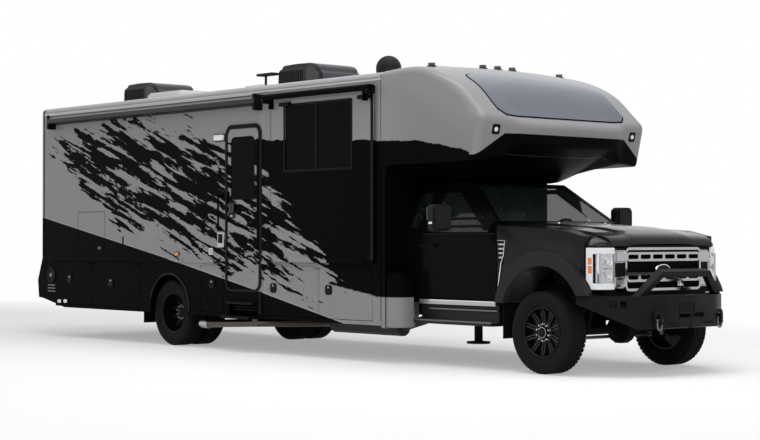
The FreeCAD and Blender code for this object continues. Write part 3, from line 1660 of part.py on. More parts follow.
def grille():
    """A chromed frame with two slotted cross bars in front of a dark mesh of slats."""
    outer = rounded_slab_x(grille_x - grille_depth, grille_x, -grille_half_width, grille_half_width,
                           grille_low, grille_high, grille_frame * 2)
    inner_half = grille_half_width - grille_frame
    inner = rounded_slab_x(grille_x - grille_depth - overrun, grille_x + overrun, -inner_half, inner_half,
                           grille_low + grille_frame, grille_high - grille_frame, grille_frame)
    solids = [outer.cut(inner)]
    for z in (grille_bar_low_z, grille_bar_high_z - grille_bar_height / 2):
        solids.append(slotted_bar(z))
    return joined(solids)


def grille_mesh():
    solids = []
    x0 = grille_back
    x1 = grille_x - grille_depth
    pitch = (grille_high - grille_low - grille_frame * 2) / (mesh_bars + 1)
    for number in range(1, mesh_bars + 1):
        z = grille_low + grille_frame + pitch * number
        solids.append(box(x0, x1, -grille_half_width + grille_frame, grille_half_width - grille_frame,
                          z - mesh_bar / 2, z + mesh_bar / 2))
    for share in (-1, 0, 1):
        y = share * (grille_half_width - grille_frame * 2)
        solids.append(box(x0, x1, y - mesh_bar, y + mesh_bar, grille_low + grille_frame,
                          grille_high - grille_frame))
    core = box(radiator_rear, radiator_front, -radiator_half_width, radiator_half_width,
               rail_bottom + cross_member_depth, radiator_high)
    stay = box(radiator_front, x0, -mesh_bar, mesh_bar, grille_low + grille_frame, radiator_high)
    return joined(solids + [core, stay])


def headlamp(side):
    """The lamp wraps round the corner; a light band shaped like a bracket stands in its face."""
    plan = [(grille_x, side * lamp_inner_y), (grille_x, side * lamp_turn_y),
            ((grille_x + lamp_rear_x) / 2, side * (lamp_turn_y + lamp_outer_y) / 2 + side * lamp_wall / 2),
            (lamp_rear_x, side * lamp_outer_y), (lamp_rear_x, side * (lamp_outer_y - lamp_wall)),
            (grille_back, side * lamp_inner_y)]
    body = prism_z(plan, lamp_low, lamp_high)
    groove = box(grille_x - lamp_recess, grille_x + overrun, side * (lamp_inner_y + lamp_band),
                 side * (lamp_turn_y - lamp_recess / 2), lamp_low + lamp_band * 1.2,
                 lamp_high - lamp_band * 1.2)
    shelf_z = (lamp_low + lamp_high) / 2
    shelf = box(grille_x - lamp_recess, grille_x, side * (lamp_inner_y + lamp_band),
                side * (lamp_turn_y - lamp_recess / 2), shelf_z - lamp_recess / 2, shelf_z + lamp_recess / 2)
    arch_y = side * (cab_half_width - fender_skin - hood_gap)
    arch = bar(flare_outer_radius + seat_gap, (0, arch_y, flare_outer_z),
               (0, side * coach_half_width, flare_outer_z), arch_sides)
    return body.cut(groove).fuse(shelf).cut(arch).removeSplitter()


def bumper_plan(inset):
    front = bumper_front - inset
    half = [(front, 0), (front, bumper_mid_y - inset / 3), (bumper_bend_x - inset, bumper_bend_y - inset / 2),
            (bumper_end_x, bumper_end_y - inset)]
    return half


def bumper():
    """A plate bumper: flat faces meet at bends, with square lamp ports and slots."""
    outer = bumper_plan(0)
    inner = bumper_plan(bumper_wall)
    right_half = [(x, -y) for x, y in outer]
    ring = [(x, y) for x, y in outer[1:]] + [(x, y) for x, y in reversed(inner[1:])]
    ring += [(x, -y) for x, y in inner[1:]] + [(x, y) for x, y in reversed(right_half[1:])]
    body = prism_z(ring, bumper_low, bumper_top)
    rise = [(bumper_end_x - overrun, bumper_end_low), (bumper_end_x, bumper_end_low),
            (bumper_bend_x, bumper_low), (bumper_bend_x, 0), (bumper_end_x - overrun, 0)]
    body = body.cut(prism_y(rise, -coach_half_width, coach_half_width))
    top = prism_z(outer_plate(), bumper_top - bumper_wall / 2, bumper_top)
    body = body.fuse(top)
    for side in (right, left):
        body = body.cut(ports(side))
    window = box(bumper_front - bumper_wall - overrun, bumper_front + overrun, -slot_half_width,
                 slot_half_width, slot_z - slot_height / 2, slot_z + slot_height / 2)
    bevel = prism_y([(bumper_front - bumper_bevel, bumper_low), (bumper_front + overrun, bumper_low),
                     (bumper_front + overrun, bumper_low + bumper_bevel)],
                    -coach_half_width, coach_half_width)
    body = body.cut(window).cut(bevel)
    body = joined([body] + shackles())
    return [body, hoop()] + [arm.cut(body) for arm in bumper_arms()]


def outer_plate():
    rear = bumper_end_x + (bumper_bend_x - bumper_end_x) / 2
    outer = bumper_plan(0)
    points = [(x, y) for x, y in outer[1:]] + [(bumper_end_x, bumper_end_y - bumper_wall)]
    points += [(rear, bumper_bend_y - bumper_wall)]
    return points + [(x, -y) for x, y in reversed(points)]


def ports(side):
    x0, y0 = bumper_bend_x, bumper_bend_y
    x1, y1 = bumper_end_x, bumper_end_y
    angle = math.degrees(math.atan2(y1 - y0, x1 - x0))
    cuts = None
    for share in port_share:
        x = x0 + (x1 - x0) * share * 0.62
        y = y0 + (y1 - y0) * share * 0.62
        half = port_size / 2
        z = bumper_top - bumper_wall * 1.2 - half
        cut = box(x - half, x + half, y - bumper_wall * 2, y + bumper_wall * 2, z - half, z + half)
        cut.rotate(Vector(x, y, z), Vector(0, 0, 1), angle)
        cuts = cut if cuts is None else cuts.fuse(cut)
    return cuts if side == left else flipped(cuts)


def hoop():
    """A flat hoop that stands on the bumper in front of the grille, leaning a little."""
    z0 = bumper_top - bumper_wall / 2
    z1 = z0 + hoop_height
    outer = [(-hoop_foot_y, z0), (-hoop_top_y, z1), (hoop_top_y, z1), (hoop_foot_y, z0)]
    inner = [(hoop_foot_y - hoop_band * 1.5, z0), (hoop_top_y - hoop_band / 2, z1 - hoop_band),
             (-hoop_top_y + hoop_band / 2, z1 - hoop_band), (-hoop_foot_y + hoop_band * 1.5, z0)]
    band = prism_x(outer + inner, hoop_x - hoop_depth / 2, hoop_x + hoop_depth / 2)
    band.rotate(Vector(hoop_x, 0, z0), Vector(0, 1, 0), hoop_lean)
    keep_off = box(0, bumper_front * 2, -coach_half_width, coach_half_width, 0, bumper_top)
    return band.cut(keep_off)


def shackle_tip():
    slope = (bumper_bend_x - bumper_front) / (bumper_bend_y - bumper_mid_y)
    face_x = bumper_front + slope * (shackle_y - bumper_mid_y)
    return face_x + shackle_reach + shackle_radius


def shackles():
    solids = []
    for side in (right, left):
        y = side * shackle_y
        x0 = bumper_bend_x
        x1 = shackle_tip()
        plate = box(x0, x1, y - shackle_plate / 2, y + shackle_plate / 2, shackle_z - shackle_height / 2,
                    shackle_z + shackle_height / 2)
        eye = rod(shackle_radius, (x1 - shackle_radius * 2, y - overrun, shackle_z),
                  (x1 - shackle_radius * 2, y + overrun, shackle_z))
        solids.append(plate.cut(eye))
    return solids


def bumper_arms():
    solids = []
    for side in (right, left):
        solids.append(box(rail_front, bumper_bend_x, side * (rail_outer_y - rail_flange), side * rail_outer_y,
                          rail_bottom + rail_web, bumper_top))
    return solids


def front_end():
    keep("hood", hood())
    keep("front_fenders", [fender(right), fender(left)])
    keep("grille", grille())
    keep("radiator", grille_mesh())
    keep("headlamps", [headlamp(right), headlamp(left)])
    keep("front_bumper", bumper())


# Cab inside, boards, flaps and awning

def seats():
    solids = []
    for side in (right, left):
        y0 = side * seat_y - seat_width / 2
        y1 = side * seat_y + seat_width / 2
        floor_z = cab_floor_z + cab_floor_thickness + seat_gap
        x0 = seat_x - seat_depth / 2
        base = box(x0, x0 + seat_depth, y0, y1, floor_z, floor_z + seat_height)
        seat_z = floor_z + seat_height - overrun
        back = prism_y([(x0, seat_z), (x0 + seat_back, seat_z), (x0, seat_back_top),
                        (x0 - seat_back * 0.8, seat_back_top)], y0, y1)
        solids.append(base.fuse(back).removeSplitter())
    return solids


def dashboard():
    outline = [(dash_front, dash_low), (dash_front, dash_top), (dash_rear + overrun, dash_top - overrun / 2),
               (dash_rear, dash_top - overrun), (dash_rear + overrun, dash_low)]
    solid = prism_y(outline, -dash_half_width, dash_half_width)
    solid = solid.common(cab_solid(cab_skin + mesh_bar, cab_frame + mesh_bar, screen_back(cab_frame * 1.5),
                                   firewall, cab_frame))
    centre = Vector(steering_wheel_x, seat_y, steering_wheel_z)
    lean = math.radians(steering_wheel_tilt)
    axis = Vector(-math.cos(math.pi / 2 - lean), 0, math.sin(math.pi / 2 - lean))
    ring = steering_ring(centre, axis)
    foot = centre - axis * (steering_wheel_radius * 1.2)
    column = bar(column_radius, tuple(foot), tuple(centre + axis * steering_wheel_rim), small_sides)
    spoke = box(steering_wheel_x - steering_wheel_rim, steering_wheel_x + steering_wheel_rim,
                seat_y - steering_wheel_radius, seat_y + steering_wheel_radius,
                steering_wheel_z - steering_wheel_rim / 2, steering_wheel_z + steering_wheel_rim / 2)
    return joined([solid, ring, column, spoke])


def steering_ring(centre, axis):
    profile = []
    for step in range(6):
        turn = math.radians(step * 60)
        profile.append((steering_wheel_rim * math.sin(turn),
                        steering_wheel_radius + steering_wheel_rim * math.cos(turn)))
    return spun(profile, hub_sides, tuple(centre), axis)


def running_boards():
    solids = []
    for side in (right, left):
        solids.append(box(board_rear, board_front, side * board_inner_y, side * board_outer_y,
                          board_low, board_high))
        for share in (0.15, 0.85):
            x = board_rear + (board_front - board_rear) * share
            solids.append(box(x, x + board_bracket, side * (board_inner_y - board_bracket),
                              side * (board_inner_y + board_bracket), board_low, cab_bottom))
        back_y = side * (board_inner_y + board_bracket)
        solids.append(box(board_rear, board_front, back_y - side * board_back, back_y, board_low, cab_bottom))
    half = len(solids) // 2
    return [joined(solids[:half]), joined(solids[half:])]


def mud_flaps():
    solids = []
    for side in (right, left):
        y0 = side * (front_wheel_y - tyre_width / 2)
        y1 = side * cab_half_width
        solids.append(box(front_flap_x - flap_thickness, front_flap_x, y0, y1, front_flap_low,
                          fender_low))
        y0 = side * (dual_inner_y - tyre_width / 2)
        y1 = side * (coach_half_width - skirt_wall)
        solids.append(box(rear_flap_x - flap_thickness, rear_flap_x, y0, y1, rear_flap_low,
                          floor_top - floor_thickness))
    return solids


def patio_awning():
    y0 = -coach_half_width
    y1 = -coach_half_width - awning_proud
    middle = (awning_low + awning_high) / 2
    outline = [(y0, awning_low), (y1, awning_low + awning_arm / 2), (y1, middle),
               (y1 + awning_arm, awning_high), (y0, awning_high)]
    case = prism_x(outline, awning_rear, awning_front)
    solids = [case]
    for x in (awning_rear, awning_front - awning_arm):
        solids.append(box(x, x + awning_arm, y0, y1 + awning_arm / 2, awning_low - awning_arm * 1.5,
                          awning_low + awning_arm))
    return joined(solids)


def ac_unit(front_x):
    """A roof cooler: a sloped nose to the front and a louvred square back."""
    half = ac_width / 2
    base = roof_edge_z + roof_crown / 2
    top = base + ac_height
    rear_x = front_x - ac_length
    outline = [(rear_x, base), (rear_x + ac_shoulder / 3, top - ac_shoulder / 2), (rear_x + ac_shoulder, top),
               (front_x - ac_nose, top), (front_x - ac_shoulder, base + ac_height / 3), (front_x, base)]
    body = prism_y(outline, -half, half)
    front = [(-half, base - roof_crown), (-half, base + ac_height / 2), (-half + ac_shoulder, top),
             (half - ac_shoulder, top), (half, base + ac_height / 2), (half, base - roof_crown)]
    narrow = half * ac_front_share
    plan = [(rear_x, -half), (front_x - ac_nose, -half), (front_x, -narrow), (front_x, narrow),
            (front_x - ac_nose, half), (rear_x, half)]
    shaped = body.common(prism_x(front, rear_x, front_x)).common(prism_z(plan, base - roof_crown, top))
    return shaped.cut(roof())


def skylight():
    """A low white cover beside the rear cooler, with sloping edges all round."""
    base = roof_edge_z + roof_crown / 2
    top = base + vent_height
    rear = skylight_front - skylight_length
    edge = skylight_width / 6
    low = skylight_y - skylight_width / 2
    high = skylight_y + skylight_width / 2
    along = prism_y([(rear, base), (rear + edge, top), (skylight_front - edge, top), (skylight_front, base)],
                    low, high)
    across = prism_x([(low, base), (low + edge, top), (high - edge, top), (high, base)], rear, skylight_front)
    return along.common(across).cut(roof())


def roof_units():
    solids = [ac_unit(ac_front_x), ac_unit(ac_rear_x)]
    length = coach_front - coach_rear
    top = roof_edge_z + roof_crown
    for share in vent_x_share:
        x = coach_front - length * share
        half = vent_size / 2
        base = roof_edge_z + roof_crown / 2
        solids.append(box(x - half, x + half, -half, half, base, base + vent_height).cut(roof()))
    solids.append(skylight())
    base = top - roof_crown / 2
    outline = [(0, 0)]
    for across, up in dome_shares:
        outline.append((dome_height * up, dome_radius * across))
    dome = spun(outline, hub_sides, (dome_x, dome_y, base), Vector(0, 0, 1))
    solids.append(dome.cut(roof()))
    x0 = antenna_x - antenna_length / 2
    wing = box(x0, x0 + antenna_length, antenna_y - antenna_bar * 2, antenna_y + antenna_bar * 2,
               top + antenna_rise, top + antenna_rise + antenna_bar)
    mast = box(antenna_x - antenna_bar, antenna_x, antenna_y - antenna_bar, antenna_y,
               roof_edge_z + roof_crown / 2, top + antenna_rise)
    solids.append(wing.fuse(mast).removeSplitter().cut(roof()))
    keep("roof_units", solids)


def inside_and_outside():
    keep("cab_seats", seats())
    keep("dashboard", dashboard())
    keep("running_boards", running_boards())
    keep("mud_flaps", mud_flaps())
    keep("patio_awning", patio_awning())
    roof_units()


def cab_and_nose():
    keep("nose_cap", nose_cap())
    keep("cab_shell", cab_shell())
    for side, word in ((right, "right"), (left, "left")):
        keep("cab_door_" + word, [cab_door(side), mirror(side)])
        keep("cab_door_glass_" + word, side_glass(side))
    keep("windscreen", windscreen())


def export():
    os.makedirs("parts", exist_ok=True)
    middle = (shackle_tip() + rear_end) / 2
    for name, solids in parts.items():
        loose = []
        for shape in solids:
            loose.extend(shape.Solids)
        whole = loose[0] if len(loose) == 1 else Part.makeCompound(loose)
        whole.translate(Vector(-middle, 0, 0))
        whole.exportStep("parts/" + name + ".step")
        print(name, len(loose), round(whole.Volume / 1e6, 2))


wheels()
axles()
chassis()
coach()
cab_and_nose()
front_end()
inside_and_outside()
export()
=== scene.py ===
import math

import bmesh
import bpy
from mathutils import Matrix, Vector
from mathutils.bvhtree import BVHTree


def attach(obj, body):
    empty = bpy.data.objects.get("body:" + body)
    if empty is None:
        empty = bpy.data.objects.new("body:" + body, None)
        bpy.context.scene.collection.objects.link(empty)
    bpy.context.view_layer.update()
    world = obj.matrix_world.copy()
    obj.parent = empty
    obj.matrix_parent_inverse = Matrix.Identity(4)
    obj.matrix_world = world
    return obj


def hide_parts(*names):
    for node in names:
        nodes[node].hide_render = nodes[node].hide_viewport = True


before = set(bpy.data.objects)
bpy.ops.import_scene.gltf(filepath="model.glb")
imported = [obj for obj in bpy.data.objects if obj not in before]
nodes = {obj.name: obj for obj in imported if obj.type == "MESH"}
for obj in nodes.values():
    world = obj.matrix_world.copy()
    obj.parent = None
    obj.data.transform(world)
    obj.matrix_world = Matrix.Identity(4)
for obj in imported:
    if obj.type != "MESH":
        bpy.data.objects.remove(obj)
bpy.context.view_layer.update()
print("frame loaded,", len(nodes), "nodes")

axleX = 4.224982  # where the front axle stands; every X below is measured from it
wheelBase = 6.275
tyreRadius = 0.4175
sides = ((-1, "right"), (1, "left"))
both = (-1, 1)
origin = (0, 0, 0)
down = Vector((0, 0, -1))


def placed(name, data):
    obj = bpy.data.objects.new(name, data)
    bpy.context.scene.collection.objects.link(obj)
    return obj


# Shader nodes as expressions

def feed(tree, value, slot):
    if isinstance(value, Sock):
        tree.links.new(value.socket, slot)
    elif slot.type == "RGBA":
        slot.default_value = (*value[:3], 1.0)
    else:
        slot.default_value = value


class Sock:
    def __init__(self, tree, socket):
        self.tree = tree
        self.socket = socket

    def maths(self, operation, *others, turned=False):
        node = self.tree.nodes.new("ShaderNodeMath")
        node.operation = operation
        values = (self,) + others
        for value, slot in zip(values[::-1] if turned else values, node.inputs):
            feed(self.tree, value, slot)
        return Sock(self.tree, node.outputs[0])

    def __add__(self, other):
        return self.maths("ADD", other)

    def __sub__(self, other):
        return self.maths("SUBTRACT", other)

    def __rsub__(self, other):
        return self.maths("SUBTRACT", other, turned=True)

    def __mul__(self, other):
        return self.maths("MULTIPLY", other)

    def __truediv__(self, other):
        return self.maths("DIVIDE", other)

    def __abs__(self):
        return self.maths("ABSOLUTE")

    def lowest(self, other):
        return self.maths("MINIMUM", other)

    def highest(self, other):
        return self.maths("MAXIMUM", other)

    def held(self):
        return self.highest(0.0).lowest(1.0)

    def over(self, edge, soft=0.003):
        return ((self - edge) * (1 / soft) + 0.5).held()

    def under(self, edge, soft=0.003):
        return 1 - self.over(edge, soft)

    def within(self, low, high, soft=0.003):
        return self.over(low, soft) * self.under(high, soft)

    def falling(self, *lines):
        # the lowest of some lines of (shift, slope, height)
        levels = [(self + shift) * slope + height for shift, slope, height in lines]
        low = levels[0]
        for level in levels[1:]:
            low = low.lowest(level)
        return low


class Nodes:
    def __init__(self, owner, outKind):
        owner.use_nodes = True
        self.tree = owner.node_tree
        self.tree.nodes.clear()
        self.out = self.tree.nodes.new(outKind)

    def node(self, kind, inputs=None, output=0, **settings):
        node = self.tree.nodes.new(kind)
        for key, value in settings.items():
            setattr(node, key, value)
        for key, value in (inputs or {}).items():
            feed(self.tree, value, node.inputs[key])
        return Sock(self.tree, node.outputs[output])

    def parts(self, vector):
        node = self.tree.nodes.new("ShaderNodeSeparateXYZ")
        feed(self.tree, vector, node.inputs[0])
        return [Sock(self.tree, out) for out in node.outputs]

    def seen(self):
        # 1 for rays of the camera, of mirrors and of glass
        share = self.node("ShaderNodeLightPath", output="Is Camera Ray")
        for name in ("Is Glossy Ray", "Is Transmission Ray"):
            share = share.highest(self.node("ShaderNodeLightPath", output=name))
        return share

    def show(self, share, first, second):
        mix = self.node("ShaderNodeMixShader", {0: share, 1: first, 2: second})
        feed(self.tree, mix, self.out.inputs[0])


class Finish(Nodes):
    slots = {"color": "Base Color", "rough": "Roughness", "metal": "Metallic", "coat": "Coat Weight",
             "alpha": "Alpha", "coatRough": "Coat Roughness", "specular": "Specular IOR Level"}

    def __init__(self, name):
        self.material = finishes[name] = bpy.data.materials.new(name)
        super().__init__(self.material, "ShaderNodeOutputMaterial")
        self.shader = self.tree.nodes.new("ShaderNodeBsdfPrincipled")
        self.tree.links.new(self.shader.outputs[0], self.out.inputs[0])
        self.place = self.node("ShaderNodeTexCoord", output="Object")

    def axes(self):
        return self.parts(self.place)

    def point(self, x, y, z):
        return self.node("ShaderNodeCombineXYZ", {0: x, 1: y, 2: z})

    def noise(self, scale, detail=3.0, rough=0.5, vector=None, warp=0.0):
        return self.node("ShaderNodeTexNoise", {"Vector": vector or self.place, "Scale": scale, "Detail": detail,
                                                "Roughness": rough, "Distortion": warp})

    def blend(self, factor, first, second):
        return self.node("ShaderNodeMix", {0: factor, 6: first, 7: second}, 2, data_type="RGBA")

    def mottled(self, color, vary=0.08, scale=2.3):
        dark = [c * (1 - vary) for c in color]
        pale = [min(1, c * (1 + vary)) for c in color]
        return self.blend(self.noise(scale, 4.0, 0.6), dark, pale)

    def look(self, **values):
        for key, value in values.items():
            feed(self.tree, value, self.shader.inputs[self.slots[key]])

    def grain(self, strength, scale):
        bump = self.node("ShaderNodeBump", {"Height": self.noise(scale, 4.0, 0.6), "Strength": strength,
                                            "Distance": 0.001})
        feed(self.tree, bump, self.shader.inputs["Normal"])


finishes = {}


def plain(name, color, rough, metal=0.0, coat=0.0, grain=0.0, grainScale=60.0, vary=0.08, specular=0.5):
    f = Finish(name)
    wear = f.noise(11.0, 5.0, 0.65)
    f.look(color=f.mottled(color, vary), metal=metal, coat=coat, coatRough=0.04, specular=specular,
           rough=(wear - 0.5) * (rough * 0.45) + rough)
    if grain:
        f.grain(grain, grainScale)


# Paint of the coach: grey over black, parted by a falling line, with torn streaks, and a painted highlight along the
# grey's lower edge

livery = {"grey": (0.258, 0.258, 0.263), "paintedHighlightGrey": (0.35, 0.35, 0.355), "black": (0.0019, 0.0021, 0.0025),
          "streakSlope": -0.36, "streakStretch": (1.2, 10.8), "tornStretch": (7.0, 24.0), "edge": 0.006,
          "paintedHighlightWidth": 0.014, "floor": ((9.39, -0.1775, 1.653), (6.33, -0.193, 1.11), (4.37, -0.204, 0.731)),
          "crest": ((4.3, -0.047, 2.52), (1.379, -0.223, 2.375)), "band": (4.1, -0.147, 1.0),
          "tear": (4.35, 0.9, -2.1), "frontRear": -4.97, "streaks": (9.0, -0.195, 2.57), "opening": (9.15, 0.38, 0.16),
          "widest": 0.86, "ends": ((9.25, 1.3, 0.0), (3.1, -0.9, 0.0)), "gather": 0.185, "threshold": 0.636}
nosePaint = {"brow": 2.442, "browHalf": 0.93, "browFall": 0.66, "lipX": -0.8, "underZ": 1.9, "legTop": 0.72,
             "keelZ": 2.217, "keelX": -2.05, "recessHalf": 1.235, "recessZ": 2.5, "recessX": -1.95}


def liveryFinish(name, nose=False, trim=None):
    # trim says how far out the dark fittings start
    f = Finish(name)
    x, y, z = f.axes()
    u = x - axleX
    soft = livery["edge"]
    across = z - u * livery["streakSlope"]
    along = u + z * livery["streakSlope"]
    wide, high = livery["streakStretch"]
    broad = f.noise(1.0, 2.5, 0.55, f.point(along * wide, 0.0, across * high), 0.35)
    wide, high = livery["tornStretch"]
    torn = f.noise(1.0, 5.0, 0.68, f.point(along * wide, 4.0, across * high), 0.5)
    field = broad + (torn - 0.5) * 0.42
    floorLine = u.falling(*livery["floor"])
    low = z.under(floorLine, soft)
    ripple = (f.noise(1.0, 4.0, 0.6, f.point(u * 2.6, 9.0, 0.0)) - 0.5) * 0.14
    crest = u.falling(*livery["crest"]) + ripple
    band = u.falling(livery["band"]) + (torn - 0.5) * 0.05
    tearLine = z + u.falling(livery["tear"]) + (field - 0.5) * 1.5
    front = tearLine.over(0.0, 0.02) * z.under(crest, soft) * z.over(band, 0.01) * u.over(livery["frontRear"])
    centre = (z - u.falling(livery["streaks"])) / u.falling(livery["opening"]).lowest(livery["widest"])
    reach = 1 - centre * centre * centre * centre
    ends = u.falling(*livery["ends"]).lowest(1.0)
    streak = (field + reach.lowest(ends) * livery["gather"]).over(livery["threshold"], 0.015)
    mark = low.highest(front).highest(streak)
    if nose:
        n = nosePaint
        browLine = n["brow"] - ((abs(y) - n["browHalf"]) * n["browFall"]).highest(0.0)
        ahead = u.over(n["lipX"], 0.01)
        above = z.over(n["underZ"], 0.01)
        mark = low.highest(z.under(crest, soft) * z.over(n["legTop"], 0.01) * (1 - ahead))
        mark = mark.highest(z.under(browLine, soft) * ahead)
        mark = mark.highest(z.under(n["keelZ"]) * u.over(n["keelX"]) * above)
        recess = abs(y).under(n["recessHalf"], 0.01) * z.under(n["recessZ"]) * u.over(n["recessX"])
        mark = mark.highest(recess * above * (1 - ahead))
    if trim:
        mark = mark.highest(abs(y).over(trim, 0.0008))
    # painted highlight: a paler grey band along the lower edge of the grey paint
    edge = z.under(floorLine + livery["paintedHighlightWidth"], soft)
    grey = f.blend(edge, f.mottled(livery["grey"], 0.05, 1.7), livery["paintedHighlightGrey"])
    f.look(color=f.blend(mark, grey, livery["black"]), specular=0.012, coat=mark * -0.345 + 0.35, coatRough=0.03,
           rough=mark * 0.06 + 0.32 + (f.noise(14.0, 4.0, 0.6) - 0.5) * 0.06)


def splitFinish(name, first, second, pick, rough=(0.4, 0.4), metal=(0.0, 0.0), grain=0.1, coat=0.0, specular=0.3):
    # two finishes on one piece, parted by where they lie
    f = Finish(name)
    x, y, z = f.axes()
    mask = pick(x - axleX, y, z)
    f.look(color=f.blend(mask, f.mottled(first), f.mottled(second)), metal=mask * (metal[1] - metal[0]) + metal[0],
           rough=mask * (rough[1] - rough[0]) + rough[0] + (f.noise(9.0) - 0.5) * 0.06, coat=coat,
           coatRough=0.04, specular=specular)
    f.grain(grain, 120.0)


def glassFinish(name, tint, alpha, coat=0.4, specular=0.3):
    f = Finish(name)
    smear = f.noise(3.0, 5.0, 0.6)
    f.look(color=f.blend(smear, tint, [c * 1.3 for c in tint]), rough=smear * 0.02 + 0.02, alpha=alpha, coat=coat,
           coatRough=0.01, specular=specular)


def noseGlassFinish():
    # a smoked panel with a painted reflection: pale at the brow, fading to dark at the foot
    f = Finish("noseGlass")
    lift = (f.axes()[2] - 2.74) * (1 / 0.42)
    f.look(color=f.blend(lift.held(), (0.098, 0.110, 0.134), (0.165, 0.182, 0.212)),
           rough=f.noise(2.0) * 0.05 + 0.12, coat=0.25, coatRough=0.02, specular=0.12)


def lampFinish():
    # smoked lenses in front, red ones at the rear
    f = Finish("clearance")
    rear = f.axes()[0].under(-3.0, 0.01)
    f.look(color=f.blend(rear, (0.020, 0.016, 0.012), (0.40, 0.012, 0.010)), rough=f.noise(40.0) * 0.1 + 0.1, coat=0.8)


liveryFinish("livery")
liveryFinish("wallPaint", trim=1.2775)
liveryFinish("slidePaint", trim=1.3215)
liveryFinish("nosePaint", nose=True)
plain("cabPaint", (0.0028, 0.0030, 0.0033), 0.22, coat=0.03, specular=0.02)
# the bonnet's paint is the cab's same black made paler, a painted sheen for the sky its top faces
plain("bonnetPaint", (0.0060, 0.0063, 0.0068), 0.20, coat=0.22, specular=0.08)
# near-black for joints between panels: the joints are real, their darkness is painted shade in the gap
plain("seam", (0.002, 0.002, 0.002), 0.8, specular=0.02)
plain("shellWhite", (0.55, 0.55, 0.55), 0.35, coat=0.2)
plain("shellBlack", (0.014, 0.014, 0.015), 0.5, grain=0.10, grainScale=260, specular=0.08)
plain("trimBlack", (0.0050, 0.0050, 0.0053), 0.42, grain=0.05, grainScale=300, specular=0.05)
plain("glossBlack", (0.0035, 0.0035, 0.004), 0.15, coat=0.10, specular=0.04)
plain("meshBlack", (0.004, 0.004, 0.004), 0.6, specular=0.08)
plain("rubber", (0.0095, 0.0095, 0.0098), 0.8, grain=0.25, grainScale=180, vary=0.2, specular=0.08)
plain("flap", (0.0045, 0.0045, 0.0045), 0.7, grain=0.2, grainScale=120, specular=0.05)
plain("bright", (0.74, 0.74, 0.75), 0.12, metal=1.0, vary=0.03)
plain("satin", (0.42, 0.42, 0.43), 0.30, metal=1.0, vary=0.05)
plain("wheelBlack", (0.0035, 0.0035, 0.0038), 0.28, coat=0.12, specular=0.08)
plain("wheelRidge", (0.042, 0.042, 0.044), 0.32, metal=0.8, specular=0.2)
plain("steel", (0.16, 0.16, 0.165), 0.45, metal=0.8, grain=0.06, grainScale=80, vary=0.15)
plain("frameBlack", (0.0045, 0.0045, 0.0045), 0.6, grain=0.12, grainScale=70, vary=0.3, specular=0.05)
plain("castIron", (0.02, 0.019, 0.018), 0.65, metal=0.2, grain=0.35, grainScale=140, vary=0.3)
plain("armour", (0.0060, 0.0060, 0.0063), 0.5, grain=0.22, grainScale=420, specular=0.10)
plain("leather", (0.035, 0.032, 0.030), 0.5, grain=0.35, grainScale=340, vary=0.12)
plain("cabTrim", (0.022, 0.021, 0.020), 0.62, grain=0.3, grainScale=300, specular=0.2)
plain("amber", (0.75, 0.20, 0.015), 0.15, coat=0.8)
plain("amberDark", (0.35, 0.09, 0.01), 0.2, coat=0.8)
plain("lensWhite", (0.78, 0.79, 0.80), 0.10, coat=0.8)
# the grille chrome's strong blotches of paler and darker tone are a painted reflection
plain("grilleChrome", (0.40, 0.40, 0.41), 0.16, metal=1.0, vary=0.25)
plain("lampCup", (0.45, 0.46, 0.47), 0.14, metal=1.0)
plain("label", (0.55, 0.56, 0.56), 0.5)
plain("copper", (0.40, 0.26, 0.06), 0.5)
# the wings' body black is painted paler than the cab's same paint, a painted sheen; the flares are dark grey plastic
splitFinish("flarePaint", (0.0085, 0.0088, 0.0093), (0.018, 0.018, 0.019),
            lambda u, y, z: abs(y).over(1.004, 0.004), (0.24, 0.5), grain=0.04, coat=0.06, specular=0.08)
splitFinish("boardAlloy", (0.006, 0.006, 0.006), (0.13, 0.13, 0.133),
            lambda u, y, z: z.within(0.478, 0.4975, 0.002) * abs(y).over(0.962), (0.6, 0.38), (0.0, 0.7))
splitFinish("awning", (0.007, 0.007, 0.0075), (0.30, 0.30, 0.31),
            lambda u, y, z: z.over(3.008, 0.004), (0.4, 0.34), (0.0, 0.7), 0.03)
splitFinish("roofPaint", (0.60, 0.60, 0.59), (0.30, 0.30, 0.305),
            lambda u, y, z: abs(y).over(1.13), (0.55, 0.32), grain=0.06)
splitFinish("coolerCase", (0.030, 0.032, 0.036), (0.0085, 0.0085, 0.009),
            lambda u, y, z: u.under(-4.63).lowest(1 - u.within(-8.19, -6.0)), (0.3, 0.5), coat=0.2, specular=0.2)
splitFinish("exhaustPipe", (0.05, 0.048, 0.045), (0.085, 0.074, 0.062),
            lambda u, y, z: u.under(-3.9), (0.5, 0.2), (0.8, 1.0), 0.04)
glassFinish("privacyGlass", (0.0016, 0.0020, 0.0026), 0.97, coat=0.02, specular=0.02)
glassFinish("cabGlass", (0.020, 0.028, 0.027), 0.40)
glassFinish("lampGlass", (0.75, 0.77, 0.79), 0.16, specular=0.5)
noseGlassFinish()
lampFinish()

